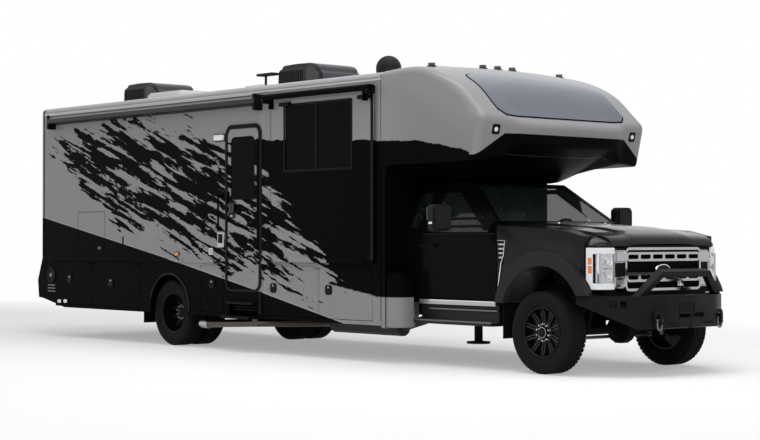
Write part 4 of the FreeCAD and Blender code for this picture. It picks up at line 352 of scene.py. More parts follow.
# how the names of the nodes begin that have each finish; the rest have the coach's paint
nodeFinish = {
    "wallPaint": "coach_walls skirts entry_door", "slidePaint": "slide_room", "nosePaint": "nose_cap",
    "cabPaint": "cab_shell cab_door", "bonnetPaint": "hood", "roofPaint": "coach_roof",
    "flarePaint": "front_fenders", "privacyGlass": "coach_windows slide_room_glass entry_door_glass",
    "coolerCase": "roof_units", "cabGlass": "windscreen cab_door_glass", "clearance": "marker_lamps",
    "rubber": "front_tyre rear_tyres", "wheelBlack": "front_rim rear_rims",
    "frameBlack": "chassis_frame hitch_receiver front_axle rear_axle fuel_tank", "castIron": "engine_block",
    "steel": "knuckle tie_rod", "exhaustPipe": "exhaust", "trimBlack": "entry_steps", "flap": "mud_flaps",
    "meshBlack": "radiator", "awning": "patio_awning", "bright": "grille headlamps", "armour": "front_bumper",
    "leather": "cab_seats", "cabTrim": "dashboard", "boardAlloy": "running_boards"}


def dressNodes():
    wanted = {start: key for key, starts in nodeFinish.items() for start in starts.split()}
    for name, obj in nodes.items():
        fits = [start for start in wanted if name.startswith(start)]
        finish = finishes[wanted[max(fits, key=len)] if fits else "livery"]
        if not obj.material_slots:
            obj.data.materials.append(finish)
        for slot in obj.material_slots:
            slot.material = finish


dressNodes()
print("paint and finishes ready")


# Making forms

def skinned(rings, looped=False):
    # faces between rings of points; looped joins the last ring to the first, or else both ends are closed
    bm = bmesh.new()
    rows = [[bm.verts.new(point) for point in ring] for ring in rings]
    for i in range(0 if looped else 1, len(rows)):
        for k in range(len(rows[i])):
            bm.faces.new((rows[i - 1][k - 1], rows[i - 1][k], rows[i][k], rows[i][k - 1]))
    if not looped:
        bm.faces.new(rows[0])
        bm.faces.new(rows[-1])
    return bm


def slabForm(grids):
    # a closed form between two grids of points
    bm = bmesh.new()
    top, low = [[[bm.verts.new(point) for point in row] for row in grid] for grid in grids]
    n, m = len(top) - 1, len(top[0]) - 1
    for i in range(n):
        for j in range(m):
            bm.faces.new((top[i][j], top[i + 1][j], top[i + 1][j + 1], top[i][j + 1]))
            bm.faces.new((low[i][j], low[i][j + 1], low[i + 1][j + 1], low[i + 1][j]))
    border = [(0, j) for j in range(m)] + [(i, m) for i in range(n)]
    border += [(n - i, m - j) for i, j in border]
    for (i0, j0), (i1, j1) in zip(border, border[1:] + border[:1]):
        bm.faces.new((top[i0][j0], top[i1][j1], low[i1][j1], low[i0][j0]))
    return bm


def laid(axis, a, b, c):
    # a and b lie in the two axes left over, in alphabetical order
    return {"x": (c, a, b), "y": (a, c, b), "z": (a, b, c)}[axis]


def sweptForm(outline, axis, start, end):
    return skinned([[laid(axis, a, b, c) for a, b in outline] for c in (start, end)])


def boxForm(x0, x1, y0, y1, z0, z1):
    return sweptForm([(x0, y0), (x1, y0), (x1, y1), (x0, y1)], "z", z0, z1)


def frameForm(outer, inner, axis, start, end):
    # a frame between two outlines with the same number of points
    loops = ((outer, start), (outer, end), (inner, end), (inner, start))
    return skinned([[laid(axis, a, b, c) for a, b in line] for line, c in loops], True)


def latheForm(profile, steps):
    # a closed profile of (along, radius), spun round Z
    turns = [2 * math.pi * s / steps for s in range(steps)]
    bm = skinned([[(r * math.cos(t), r * math.sin(t), a) for t in turns] for a, r in profile], True)
    bmesh.ops.remove_doubles(bm, verts=bm.verts, dist=0.00001)
    return bm


def tubeForm(points, radius, around=8):
    path = [Vector(p) for p in points]
    turns = [2 * math.pi * (s + 0.5) / around for s in range(around)]
    rings = []
    up = None
    for i, p in enumerate(path):
        before, after = path[max(i - 1, 0)], path[min(i + 1, len(path) - 1)]
        ahead = (after - before).normalized()
        if up is None:
            up = Vector((0, 0, 1)) if abs(ahead.z) < 0.9 else Vector((1, 0, 0))
        up = (up - ahead * up.dot(ahead)).normalized()
        side = ahead.cross(up)
        bend = max(0.35, ahead.dot((p - before).normalized())) if i else 1.0
        rings.append([p + side * (radius * math.cos(t) / bend) + up * (radius * math.sin(t)) for t in turns])
    return skinned(rings)


def arc(a, b, radiusA, radiusB, first, last, steps):
    turns = [math.radians(first + (last - first) * k / steps) for k in range(steps + 1)]
    return [(a + radiusA * math.cos(t), b + radiusB * math.sin(t)) for t in turns]


def roundedOutline(a0, a1, b0, b1, radius, steps=5):
    corners = ((a1 - radius, b1 - radius), (a0 + radius, b1 - radius), (a0 + radius, b0 + radius),
               (a1 - radius, b0 + radius))
    points = []
    for k, (a, b) in enumerate(corners):
        points += arc(a, b, radius, radius, 90 * k, 90 * k + 90, steps)
    return points


def halfRound(side, wall, z0, z1, proud, steps=8):
    return arc(side * wall, (z0 + z1) / 2, side * proud, (z1 - z0) / 2, -90, 90, steps)


def facing(centre, direction):
    turn = Vector(direction).to_track_quat("Z", "Y").to_matrix().to_4x4()
    return Matrix.Translation(Vector(centre)) @ turn


def casting(bm):
    # a form to send lines at, to find where small parts sit on it
    bmesh.ops.recalc_face_normals(bm, faces=bm.faces)
    tree = BVHTree.FromBMesh(bm)
    bm.free()
    return tree


# A node tree that sets copies of an item in a row, round Y, or both

def repeatTree():
    tree = bpy.data.node_groups.new("repeatItem", "GeometryNodeTree")
    names = {}
    for name, kind in (("Item", "Object"), ("Count", "Int"), ("Step", "Vector"), ("Start", "Vector"),
                       ("Turn", "Float"), ("Finish", "Material")):
        names[name] = tree.interface.new_socket(name, in_out="INPUT", socket_type="NodeSocket" + kind).identifier
    tree.interface.new_socket("Geometry", in_out="OUTPUT", socket_type="NodeSocketGeometry")
    given, points, info, index, angle, spin, copies, whole, paint, result = [tree.nodes.new(kind) for kind in (
        "NodeGroupInput", "GeometryNodeMeshLine", "GeometryNodeObjectInfo", "GeometryNodeInputIndex",
        "ShaderNodeMath", "ShaderNodeCombineXYZ", "GeometryNodeInstanceOnPoints", "GeometryNodeRealizeInstances",
        "GeometryNodeSetMaterial", "NodeGroupOutput")]
    angle.operation = "MULTIPLY"
    for source, output, target, slot in (
            (given, "Count", points, "Count"), (given, "Step", points, "Offset"),
            (given, "Start", points, "Start Location"), (given, "Item", info, "Object"),
            (index, "Index", angle, 0), (given, "Turn", angle, 1), (angle, 0, spin, "Y"),
            (points, "Mesh", copies, "Points"), (info, "Geometry", copies, "Instance"),
            (spin, "Vector", copies, "Rotation"), (copies, "Instances", whole, "Geometry"),
            (whole, "Geometry", paint, "Geometry"), (given, "Finish", paint, "Material"),
            (paint, "Geometry", result, "Geometry")):
        tree.links.new(source.outputs[output], target.inputs[slot])
    return tree, names


repeatGroup, repeatNames = repeatTree()


class Shape:
    def __init__(self):
        self.bm = bmesh.new()
        self.finishes = []

    def add(self, key, bm, soft=0.0, steps=2, matrix=None):
        bmesh.ops.recalc_face_normals(bm, faces=bm.faces)
        if matrix is not None:
            bmesh.ops.transform(bm, matrix=matrix, verts=bm.verts)
        if soft:
            edges = [e for e in bm.edges if len(e.link_faces) == 2 and e.calc_face_angle(0) > 0.5]
            bmesh.ops.bevel(bm, geom=edges, offset=soft, segments=steps, affect="EDGES", clamp_overlap=True)
        mesh = bpy.data.meshes.new("form")
        bm.to_mesh(mesh)
        bm.free()
        return self.merge(key, mesh)

    def merge(self, key, mesh):
        finish = finishes[key]
        if finish not in self.finishes:
            self.finishes.append(finish)
        mesh.polygons.foreach_set("material_index", [self.finishes.index(finish)] * len(mesh.polygons))
        self.bm.from_mesh(mesh)
        bpy.data.meshes.remove(mesh)
        return self

    def box(self, key, x0, x1, y0, y1, z0, z1, soft=0.0, steps=2):
        return self.add(key, boxForm(x0, x1, y0, y1, z0, z1), soft, steps)

    def boxes(self, rows, side=1):
        # rows of finish, from and to along X, Y and Z, and the soft edge
        for key, x0, x1, y0, y1, z0, z1, *edge in rows:
            self.box(key, x0, x1, side * y0, side * y1, z0, z1, *edge)
        return self

    def sweep(self, key, outline, axis, start, end, soft=0.0, steps=2):
        return self.add(key, sweptForm(outline, axis, start, end), soft, steps)

    def plate(self, key, axis, start, end, a0, a1, b0, b1, radius, soft=0.0, steps=2):
        return self.sweep(key, roundedOutline(a0, a1, b0, b1, radius), axis, start, end, soft, steps)

    def frame(self, key, outer, inner, axis, start, end):
        return self.add(key, frameForm(outer, inner, axis, start, end))

    def lathe(self, key, profile, steps, matrix=None):
        return self.add(key, latheForm(profile, steps), matrix=matrix)

    def tube(self, key, points, radius, around=8):
        return self.add(key, tubeForm(points, radius, around))

    def repeat(self, key, form, count, start=origin, step=origin, turn=0.0, soft=0.0, matrix=None):
        seed = placed("item", Shape().add(key, form, soft, matrix=matrix).meshOf("item"))
        holder = placed("holder", bpy.data.meshes.new("holder"))
        modifier = holder.modifiers.new("repeat", "NODES")
        modifier.node_group = repeatGroup
        for name, value in (("Item", seed), ("Count", count), ("Step", step), ("Start", start), ("Turn", turn),
                            ("Finish", finishes[key])):
            modifier[repeatNames[name]] = value
        holder.update_tag()
        ready = holder.evaluated_get(bpy.context.evaluated_depsgraph_get())
        mesh = bpy.data.meshes.new_from_object(ready)
        holder.modifiers.remove(modifier)
        self.merge(key, mesh)
        for obj in (seed, holder):
            data = obj.data
            bpy.data.objects.remove(obj)
            bpy.data.meshes.remove(data)

    def meshOf(self, name):
        mesh = bpy.data.meshes.new(name)
        self.bm.to_mesh(mesh)
        self.bm.free()
        for finish in self.finishes:
            mesh.materials.append(finish)
        return mesh

    def done(self, name, body, *replaced, sharp=32):
        mesh = self.meshOf(name)
        mesh.transform(Matrix.Translation((axleX, 0, 0)))
        return settle(name, mesh, body, replaced, sharp)


def settle(name, mesh, body, replaced, sharp):
    mesh.polygons.foreach_set("use_smooth", [True] * len(mesh.polygons))
    mesh.set_sharp_from_angle(angle=math.radians(sharp))
    obj = placed(name, mesh)
    if replaced:
        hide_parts(*replaced)
    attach(obj, body)
    return obj


def softened(node, width, body, key=None):
    # a merged copy of a node with rounded edges, shown in its place
    mesh = nodes[node].data.copy()
    bm = bmesh.new()
    bm.from_mesh(mesh)
    bmesh.ops.remove_doubles(bm, verts=bm.verts, dist=0.00005)
    bmesh.ops.dissolve_limit(bm, angle_limit=math.radians(0.5), verts=bm.verts, edges=bm.edges)
    bm.to_mesh(mesh)
    bm.free()
    if key:
        mesh.materials.clear()
        mesh.materials.append(finishes[key])
        mesh.polygons.foreach_set("material_index", [0] * len(mesh.polygons))
    obj = settle("soft_" + node, mesh, body, (node,), 40)
    bevel = obj.modifiers.new("edges", "BEVEL")
    bevel.width = width
    bevel.segments = 2
    bevel.limit_method = "ANGLE"
    bevel.angle_limit = math.radians(38)
    bevel.use_clamp_overlap = True
    bevel.harden_normals = False
    return obj


print("form makers ready")


# Wheels: tyre with tread, then rims with paired ridges and lugs

tyre = {"steps": 72, "ribs": 52, "tread": (0.403, 0.4156, 0.4162), "rib": 0.37,
        "rows": ((-0.09, 0.017, 0.5), (-0.05, 0.014, 0), (-0.01, 0.016, 0.5), (0.03, 0.014, 0), (0.072, 0.017, 0.5)),
        "profile": ((0, 0.4085), (0.06, 0.408), (0.098, 0.404), (0.1105, 0.396), (0.1185, 0.378), (0.1225, 0.352),
                    (0.1215, 0.33), (0.119, 0.329), (0.118, 0.323), (0.12, 0.321), (0.1165, 0.302), (0.109, 0.283),
                    (0.11, 0.28), (0.102, 0.264), (0.096, 0.257), (0.0945, 0.2478))}
rim = {"pairs": 10, "lugs": 10, "steps": 60, "lugCircle": 0.083, "ridge": (0.104, 0.229),
       "lug": ((0, 0), (0, 0.013), (0.006, 0.013), (0.008, 0.0105), (0.026, 0.0095), (0.03, 0.006), (0.03, 0)),
       "bowl": ((-0.095, 0.2465), (0.094, 0.2465), (0.098, 0.254), (0.104, 0.256), (0.107, 0.252), (0.104, 0.244),
                (0.094, 0.236)), "bowlFoot": (-0.094, 0.232)}
wheels = (
    {"body": "front_wheel_", "pieces": ("frontTyre_", "frontWheel_"), "nodes": ("front_tyre_", "front_rim_"),
     "x": 0, "tyres": ((0.95, 1),), "deep": 0.03, "ridge": (0.036, 0.062, 0.084), "lug": 0.061,
     "disc": ((0.018, 0.232), (0.036, 0.231), (0.042, 0.22), (0.04, 0.106), (0.018, 0.106)),
     "hub": ((-0.056, 0.0385), (-0.056, 0.07), (0.01, 0.108), (0.05, 0.108), (0.058, 0.105), (0.062, 0.098),
             (0.062, 0.07), (0.07, 0.066), (0.088, 0.06), (0.092, 0.054), (0.094, 0.044), (0.108, 0.042),
             (0.113, 0.038), (0.114, 0), (0.1, 0), (0.09, 0.0385)),
     "rings": (((0.0905, 0.056), (0.0945, 0.055), (0.095, 0.05), (0.0905, 0.049)),)},
    {"body": "rear_wheels_", "pieces": ("rearTyres_", "rearWheels_"), "nodes": ("rear_tyres_", "rear_rims_"),
     "x": -wheelBase, "tyres": ((1.09, 1), (0.77, -1)), "deep": -0.07, "ridge": (-0.07, -0.05, -0.034),
     "lug": -0.04, "disc": ((-0.086, 0.233), (-0.07, 0.232), (-0.066, 0.22), (-0.066, 0.1), (-0.086, 0.1)),
     "hub": ((-0.412, 0.0525), (-0.412, 0.09), (-0.06, 0.092), (-0.048, 0.106), (-0.04, 0.104), (-0.038, 0.07),
             (-0.03, 0.066), (-0.01, 0.056), (-0.006, 0.044), (0.006, 0.04), (0.008, 0), (-0.01, 0),
             (-0.02, 0.0525)), "rings": ()})


def addTyre(shape, x, y, way):
    half = tyre["profile"]
    profile = half + tuple((-a, r) for a, r in reversed(half[1:]))
    shape.lathe("rubber", profile, tyre["steps"], facing((x, y, tyreRadius), (0, way, 0)))
    pitch = 2 * math.pi / tyre["ribs"]
    reach = tyre["rib"] * pitch * tyreRadius
    low, topShifted, top = tyre["tread"]
    for middle, half, shift in tyre["rows"]:
        middle = y + way * middle
        block = boxForm(-reach, reach, middle - half, middle + half, low, topShifted if shift else top)
        shape.repeat("rubber", block, tyre["ribs"], (x, 0, tyreRadius), turn=pitch, soft=0.002,
                     matrix=Matrix.Rotation(shift * pitch, 4, "Y"))


def makeWheel(kind, side, word):
    cover, wheel = Shape(), Shape()
    x, deep = kind["x"], kind["deep"]
    bowl = rim["bowl"] + ((deep + 0.02, 0.231), (deep, 0.231), rim["bowlFoot"])
    for y, way in kind["tyres"]:
        addTyre(cover, x, side * y, side * way)
        for profile in (bowl, kind["disc"]):
            wheel.lathe("wheelBlack", profile, rim["steps"], facing((x, side * y, tyreRadius), (0, side * way, 0)))
    cover.done(kind["pieces"][0] + word, kind["body"] + word, kind["nodes"][0] + word)
    y = side * kind["tyres"][0][0]
    place = facing((x, y, tyreRadius), (0, side, 0))
    inner, outer = rim["ridge"]
    low, topIn, topOut = [y + side * deep for deep in kind["ridge"]]
    for edge0, edge1 in ((-0.021, -0.0075), (0.0075, 0.021)):
        ridge = sweptForm([(low, inner), (topIn, inner), (topOut, outer), (low, outer)], "x", edge0, edge1)
        wheel.repeat("wheelRidge", ridge, rim["pairs"], (x, 0, tyreRadius), turn=2 * math.pi / rim["pairs"],
                     soft=0.003)
    wheel.lathe("wheelBlack", kind["hub"], 40, place)
    for ring in kind["rings"]:
        wheel.lathe("satin", ring, 40, place)
    wheel.repeat("satin", latheForm(rim["lug"], 8), rim["lugs"], (x, 0, tyreRadius), turn=2 * math.pi / rim["lugs"],
                 matrix=facing((0, y + side * kind["lug"], rim["lugCircle"]), (0, side, 0)))
    wheel.done(kind["pieces"][1] + word, kind["body"] + word, kind["nodes"][1] + word)


for kind in wheels:
    for side, word in sides:
        makeWheel(kind, side, word)
print("wheels ready")


# Springs and dampers at the front axle

spring = {"y": 0.505, "radius": 0.06, "wire": 0.0075, "low": 0.475, "high": 0.78, "turns": 6, "steps": 16,
          "damper": (0.18, 0.5, 0.69), "lean": (0.12, 0, 0.44),
          "band": ((0, 0.0285), (0, 0.0345), (0.05, 0.0345), (0.05, 0.0285))}


def makeSprings():
    shape = Shape()
    count = spring["turns"] * spring["steps"]
    rise = (spring["high"] - spring["low"]) / count
    for side in both:
        coil = arc(0, side * spring["y"], spring["radius"], spring["radius"], 0, 360 * spring["turns"], count)
        points = [(x, y, spring["low"] + rise * k) for k, (x, y) in enumerate(coil)]
        shape.tube("glossBlack", points, spring["wire"], 6)
        x, y, z = spring["damper"]
        shape.lathe("copper", spring["band"], 20, facing((x, side * y, z), spring["lean"]))
    shape.done("frontSprings", "vehicle")


makeSprings()


# Front bumper: softened plates, square lamps, shackles and bolts

bumper = {"ports": ((0.845, 0.7114), (0.732, 0.8081)), "portZ": 0.713, "out": (0.65, 0.76), "cell": 0.0125,
          "shackle": (1.031, 0.47, 0.56), "faceX": 1.048, "boltRows": (-0.33, 0.21),
          "bolt": ((0, 0), (0, 0.011), (0.007, 0.011), (0.01, 0.007), (0.01, 0)),
          "boxes": (("meshBlack", 1.0475, 1.0495, -0.17, 0.044, 0.625, 0.725),
                    ("armour", 1.044, 1.053, -0.205, 0.205, 0.624, 0.634, 0.003),
                    ("armour", 1.044, 1.053, -0.205, 0.205, 0.566, 0.576, 0.003),
                    ("armour", 1.03, 1.05, -0.018, 0.018, 0.47, 0.625, 0.004))}


def makeBumper():
    softened("front_bumper", 0.007, "vehicle", "armour")
    shape = Shape()
    cell = bumper["cell"]
    for side in both:
        out = Vector((bumper["out"][0], side * bumper["out"][1], 0)).normalized()
        for x, y in bumper["ports"]:
            centre = Vector((x, side * y, bumper["portZ"])) - out * 0.012
            turn = Matrix.Translation(centre) @ Matrix.Rotation(math.atan2(out.y, out.x), 4, "Z")
            shape.add("trimBlack", boxForm(-0.045, 0, -0.028, 0.028, -0.028, 0.028), 0.004, matrix=turn)
            for row in (-cell, cell):
                for column in (-cell, cell):
                    lens = boxForm(0, 0.004, column - 0.0105, column + 0.0105, row - 0.0105, row + 0.0105)
                    lit = x > 0.8 and column * side < 0
                    shape.add("lensWhite" if lit else "shellBlack", lens, 0.002, matrix=turn)
        x, y, z = bumper["shackle"]
        y *= side
        bow = [(y + 0.03, z)] + arc(y, z - 0.045, 0.034, -0.052, 0, 180, 12) + [(y - 0.03, z)]
        shape.tube("steel", [(x, b, c) for b, c in bow], 0.0095)
        shape.tube("steel", [(x, y - 0.044, z), (x, y + 0.044, z)], 0.012, 10)
        shape.frame("armour", roundedOutline(y - 0.062, y + 0.062, z - 0.075, z + 0.085, 0.03),
                    roundedOutline(y - 0.022, y + 0.022, z - 0.052, z + 0.052, 0.008), "x", 1.016, 1.024)
    for y in bumper["boltRows"]:
        shape.repeat("armour", latheForm(bumper["bolt"], 6), 4, (bumper["faceX"], y, 0.52), (0, 0.04, 0),
                     matrix=facing(origin, (1, 0, 0)))
    shape.frame("armour", roundedOutline(-0.18, 0.054, 0.615, 0.735, 0.012),
                roundedOutline(-0.168, 0.042, 0.627, 0.723, 0.01), "x", 1.046, 1.054)
    shape.boxes(bumper["boxes"]).done("bumperFittings", "vehicle")


makeBumper()
print("bumper ready")


# Grille with its mesh, and the wrap-round headlamps

grille = {"x": 0.652, "half": 0.552, "low": 0.862, "high": 1.242, "uprights": 46,
          "rows": (0.99, 1.02, 1.05, 1.08, 1.11), "emblem": (0.684, 0, 1.05), "ends": ((1.118, 1.24), (0.868, 0.985)),
          "boxes": (("trimBlack", 0.655, 0.69, -0.59, 0.59, 1.268, 1.286, 0.004),
                    ("trimBlack", 0.56, 0.6, -0.8, 0.8, 0.7, 0.872, 0.006))}
lamp = {"low": 0.85, "high": 1.272, "inset": 0.006, "band": 0.062,
        "plan": ((0.7, 0.742), (0.7, 0.8), (0.662, 0.87), (0.6175, 0.925), (0.535, 0.984)),
        "dish": ((0, 0), (0, 0.04), (0.014, 0.044), (0.014, 0.04), (0.006, 0.03), (0.004, 0)),
        "lens": ((0.004, 0), (0.004, 0.026), (0.012, 0.02), (0.015, 0.01), (0.016, 0))}


def makeGrille():
    softened("grille", 0.006, "vehicle", "grilleChrome")
    shape = Shape()
    half = grille["half"]
    upright = boxForm(-0.004, 0.004, -0.0025, 0.0025, grille["low"], grille["high"])
    shape.repeat("meshBlack", upright, grille["uprights"], (grille["x"], -half, 0),
                 (0, 2 * half / (grille["uprights"] - 1), 0))
    for z in grille["rows"]:
        shape.box("meshBlack", 0.648, 0.654, -0.555, 0.555, z - 0.0025, z + 0.0025)
    shape.boxes(grille["boxes"])
    for side in both:
        # the chrome ends that reach from the cross bars to the headlamps
        shape.box("trimBlack", 0.6, 0.672, side * 0.575, side * 0.738, 0.862, 1.262)
        for z0, z1 in grille["ends"]:
            shape.box("grilleChrome", 0.64, 0.6995, side * 0.566, side * 0.734, z0, z1, 0.014, 3)
            shape.box("satin", 0.69, 0.6999, side * 0.6, side * 0.716, z0 + 0.03, z1 - 0.03, 0.004)
    place = Matrix.Translation(grille["emblem"]) @ Matrix.Rotation(math.pi / 2, 4, "Y")
    for key, size in (("bright", (0.105, 0.225, 0.024, 1)), ("shellBlack", (0.086, 0.2, 0.034, 1))):
        shape.lathe(key, ((0, 0), (0, 0.5), (0.4, 0.46), (0.4, 0)), 36, place @ Matrix.Diagonal(size))
    shape.done("grilleMesh", "vehicle")


def bandAlong(shape, key, plan, depth, z0, z1, soft=0.0):
    # an upright strip that follows a plan of (x, y), depth deep towards the inside
    points = [Vector((x, y, 0)) for x, y in plan]
    inner = []
    for i, p in enumerate(points):
        a = (points[max(i, 1)] - points[max(i, 1) - 1]).normalized()
        b = (points[i + 1] - points[i]).normalized() if i < len(points) - 1 else a
        ahead = (a + b).normalized()
        inward = Vector((-abs(ahead.y), -abs(ahead.x) * math.copysign(1, p.y), 0)).normalized()
        inner.append(p + inward * depth)
    shape.sweep(key, [(p.x, p.y) for p in points + inner[::-1]], "z", z0, z1, soft)


def makeHeadlamps():
    shape = Shape()
    low, high, band = lamp["low"] + lamp["inset"], lamp["high"] - lamp["inset"], lamp["band"]
    for side in both:
        plan = [(x, side * y) for x, y in lamp["plan"]]
        back = [(x - 0.055, y - side * 0.004) for x, y in plan] + [(0.545, side * 0.9), (0.6, side * 0.742)]
        shape.sweep("trimBlack", back, "z", low, high)
        outer = [(0.59, side * 0.9465)] + plan[4:]
        inside = [(x - 0.03, y - side * 0.004) for x, y in plan[:3]]
        strip = [(0.585, side * 0.9505), (0.548, side * 0.9765)]
        for key, path, depth, z0, z1, soft in (
                ("lensWhite", plan, 0.018, high - band, high, 0.006),
                ("lensWhite", plan, 0.018, low, low + band, 0.006),
                ("lensWhite", outer, 0.02, low + band * 0.8, high - band * 0.8, 0.005),
                ("lampCup", inside, 0.012, low + band, high - band, 0.0),
                ("amber", strip, 0.01, 1.012, 1.092, 0.003), ("amber", strip, 0.01, 1.1, 1.172, 0.003)):
            bandAlong(shape, key, path, depth, z0, z1, soft)
        for z0, z1, tilt in ((0.925, 1.045, 1), (1.075, 1.195, -1)):
            middle = (z0 + z1) / 2
            wedge = [(side * 0.752, z0), (side * 0.752, z1), (side * 0.862, middle + tilt * 0.035)]
            shape.sweep("lampCup", wedge, "x", 0.65, 0.664, 0.004)
            dish = facing((0.66, side * 0.795, middle), (1, 0, 0))
            shape.lathe("bright", lamp["dish"], 28, dish).lathe("lensWhite", lamp["lens"], 24, dish)
        shape.box("steel", 0.64, 0.672, side * 0.748, side * 0.85, 1.051, 1.069, 0.004)
        for k in range(4):
            y = 0.872 + 0.012 * k
            shape.box("bright", 0.59, 0.64, side * y, side * (y + 0.005), low + band, high - band)
    shape.done("headlampInside", "vehicle", "headlamps")
    cover = Shape()
    for side in both:
        plan = [(x - 0.001, side * y) for x, y in lamp["plan"][:4]]
        bandAlong(cover, "lampGlass", plan, 0.003, lamp["low"] + band, lamp["high"] - band)
    cover.done("headlampCover", "vehicle")


makeGrille()
makeHeadlamps()
print("grille and headlamps ready")


# Bonnet: a smooth domed panel

bonnet = {"rear": -0.634, "front": 0.69, "wall": 0.022, "columns": 36, "crown": 0.042, "nozzleX": -0.4,
          "nozzle": ((0, 0), (0, 0.013), (0.007, 0.011), (0.011, 0.006), (0.011, 0)),
          "edge": ((-0.634, 1.492), (-0.2, 1.467), (0.23, 1.44), (0.45, 1.414), (0.6, 1.38), (0.65, 1.357),
                   (0.677, 1.334), (0.69, 1.3)),
          "rise": ((0, 1), (0.15, 0.985), (0.3, 0.93), (0.41, 0.83), (0.43, 0.79), (0.45, 0.7), (0.5, 0.46),
                   (0.525, 0.37), (0.545, 0.33), (0.65, 0.22), (0.75, 0.08), (0.78, 0.02), (0.792, -0.08))}


def heightAt(table, x):
    for (x0, z0), (x1, z1) in zip(table, table[1:]):
        if x <= x1:
            return z0 + (z1 - z0) * (x - x0) / (x1 - x0)
    return table[-1][1]


def makeBonnet():
    rear, front, columns = bonnet["rear"], bonnet["front"], bonnet["columns"]
    across = [-y for y, rise in reversed(bonnet["rise"][1:])] + [y for y, rise in bonnet["rise"]]
    xs = [rear + (front - rear) * k / columns for k in range(columns)] + [0.668, 0.679, 0.686, front]
    top = []
    for x in sorted(set(round(x, 4) for x in xs)):
        smooth = [heightAt(bonnet["edge"], min(max(x + d, rear), front)) for d in (-0.03, -0.015, 0, 0.015, 0.03)]
        edge = sum(smooth) / 5 if x < 0.6 else smooth[2]
        crown = bonnet["crown"] * (1 if x < 0.2 else max(0.45, 1 - (x - 0.2) * 0.9))
        top.append([(x, y, edge + crown * heightAt(bonnet["rise"], abs(y))) for y in across])
    low = [[(x, y, z - bonnet["wall"]) for x, y, z in row] for row in top]
    # painted paler than the cab's black: a painted sheen
    shape = Shape().add("bonnetPaint", slabForm((top, low)))
    shape.box("trimBlack", 0.6895, 0.6899, -0.585, 0.585, 1.2815, 1.2825)
    x = bonnet["nozzleX"]
    base = heightAt(bonnet["edge"], x) + bonnet["crown"] * 0.88
    for y in (-0.36, 0.36):
        shape.lathe("lensWhite", bonnet["nozzle"], 12, Matrix.Translation((x, y, base - 0.001)))
    shape.done("bonnetPanel", "hood", "hood", sharp=24)


makeBonnet()
for node, width in (("front_fenders", 0.008), ("cab_shell", 0.006), ("running_boards", 0.004), ("dashboard", 0.008)):
    softened(node, width, "vehicle")


# Cab doors, with mirrors of their own

mirror = {"head": (1.296, 1.556, 1.432, 1.708), "depth": (-1.15, -1.022), "radius": 0.052, "arms": (1.48, 1.56),
          "root": (-0.8, 0.985), "wall": 1.045,
          "sail": ((-0.868, 1.45), (-0.868, 1.5), (-0.792, 1.59), (-0.766, 1.59), (-0.766, 1.45))}


def makeCabDoor(side, word):
    leaf = softened("cab_door_" + word, 0.005, "cab_door_" + word)
    bm = bmesh.new()
    bm.from_mesh(leaf.data)
    arms = [v for v in bm.verts if abs(v.co.y) > mirror["wall"] and v.co.z > 1.40]
    bmesh.ops.delete(bm, geom=arms, context="VERTS")
    bm.to_mesh(leaf.data)
    bm.free()
    shape = Shape()
    low, high, bottom, top = mirror["head"]
    head = roundedOutline(low, high, bottom, top, mirror["radius"], 6)
    shape.sweep("shellBlack", [(side * y, z) for y, z in head], "x", *mirror["depth"], 0.026, 4)
    x, y = mirror["root"]
    for z in mirror["arms"]:
        arm = [(x, side * y, z), (-0.9, side * 1.08, z + 0.006), (-1.07, side * 1.31, z)]
        shape.tube("trimBlack", arm, 0.015, 10)
    shape.sweep("trimBlack", mirror["sail"], "y", side * 0.955, side * 1.02, 0.01, 3)
    glass = roundedOutline(low + 0.016, high - 0.016, bottom + 0.105, top - 0.018, 0.03)
    shape.sweep("lampCup", [(side * y, z) for y, z in glass], "x", -1.1505, -1.148)
    shape.box("bright", -1.12, -1.046, side * 1.478, side * 1.5565, 1.494, 1.54, 0.012, 3)
    shape.done("mirror_" + word, "cab_door_" + word)


for side, word in sides:
    makeCabDoor(side, word)


# Over-cab nose: one smooth skin over the same stations as the solid

nose = {"rear": -2.17, "half": 1.275, "edge": 3.172, "crown": 0.048, "turn": 0.078, "drop": 0.074, "pull": 0.07,
        "inner": 0.93, "keel": 0.76, "shoulder": 0.1828, "turnSteps": 8, "profileSteps": 6, "headerX": -1.33,
        "between": (1.14, 1.08, 1.01, 0.93, 0.85, 0.76, 0.62, 0.5, 0.38, 0.25, 0.12),
        "leg": {"x": -2.1, "radius": 0.2, "inner": 0.83, "outer": 1.2748, "low": 0.385, "bend": 2.22, "top": 2.275},
        "panel": ((-2.11, 1.262), (-2.02, 1.26), (-1.955, 1.235), (-1.912, 1.18), (-1.897, 1.11), (-1.9, 1.03),
                  (-2.11, 1.03)),
        "glass": {"top": -0.636, "length": 0.626, "half": 0.982, "taper": 0.03, "corners": (0.09, 0.16),
                  "columns": 26, "rows": 12},
        "windows": ((-8.69743, -7.9084), (-5.7565, -4.60882))}


def rounded(before, corner, after, reach, steps=5):
    # a small curve in place of a corner
    a, b, c = Vector(before), Vector(corner), Vector(after)
    start, end = b + (a - b).normalized() * reach, b + (c - b).normalized() * reach
    return [tuple(start * (1 - t) ** 2 + b * 2 * t * (1 - t) + end * t * t)
            for t in [k / steps for k in range(steps + 1)]]


def smoothLine(points, steps):
    # a curve through the points, which keeps its ends
    ends = [Vector(p) for p in [points[0], *points, points[-1]]]
    line = []
    for p0, p1, p2, p3 in zip(ends, ends[1:], ends[2:], ends[3:]):
        for t in [step / steps for step in range(steps)]:
            line.append(0.5 * (2 * p1 + (p2 - p0) * t + (2 * p0 - 5 * p1 + 4 * p2 - p3) * t * t
                               + (3 * p1 - p0 - 3 * p2 + p3) * t ** 3))
    return [tuple(p) for p in line + ends[-1:]]


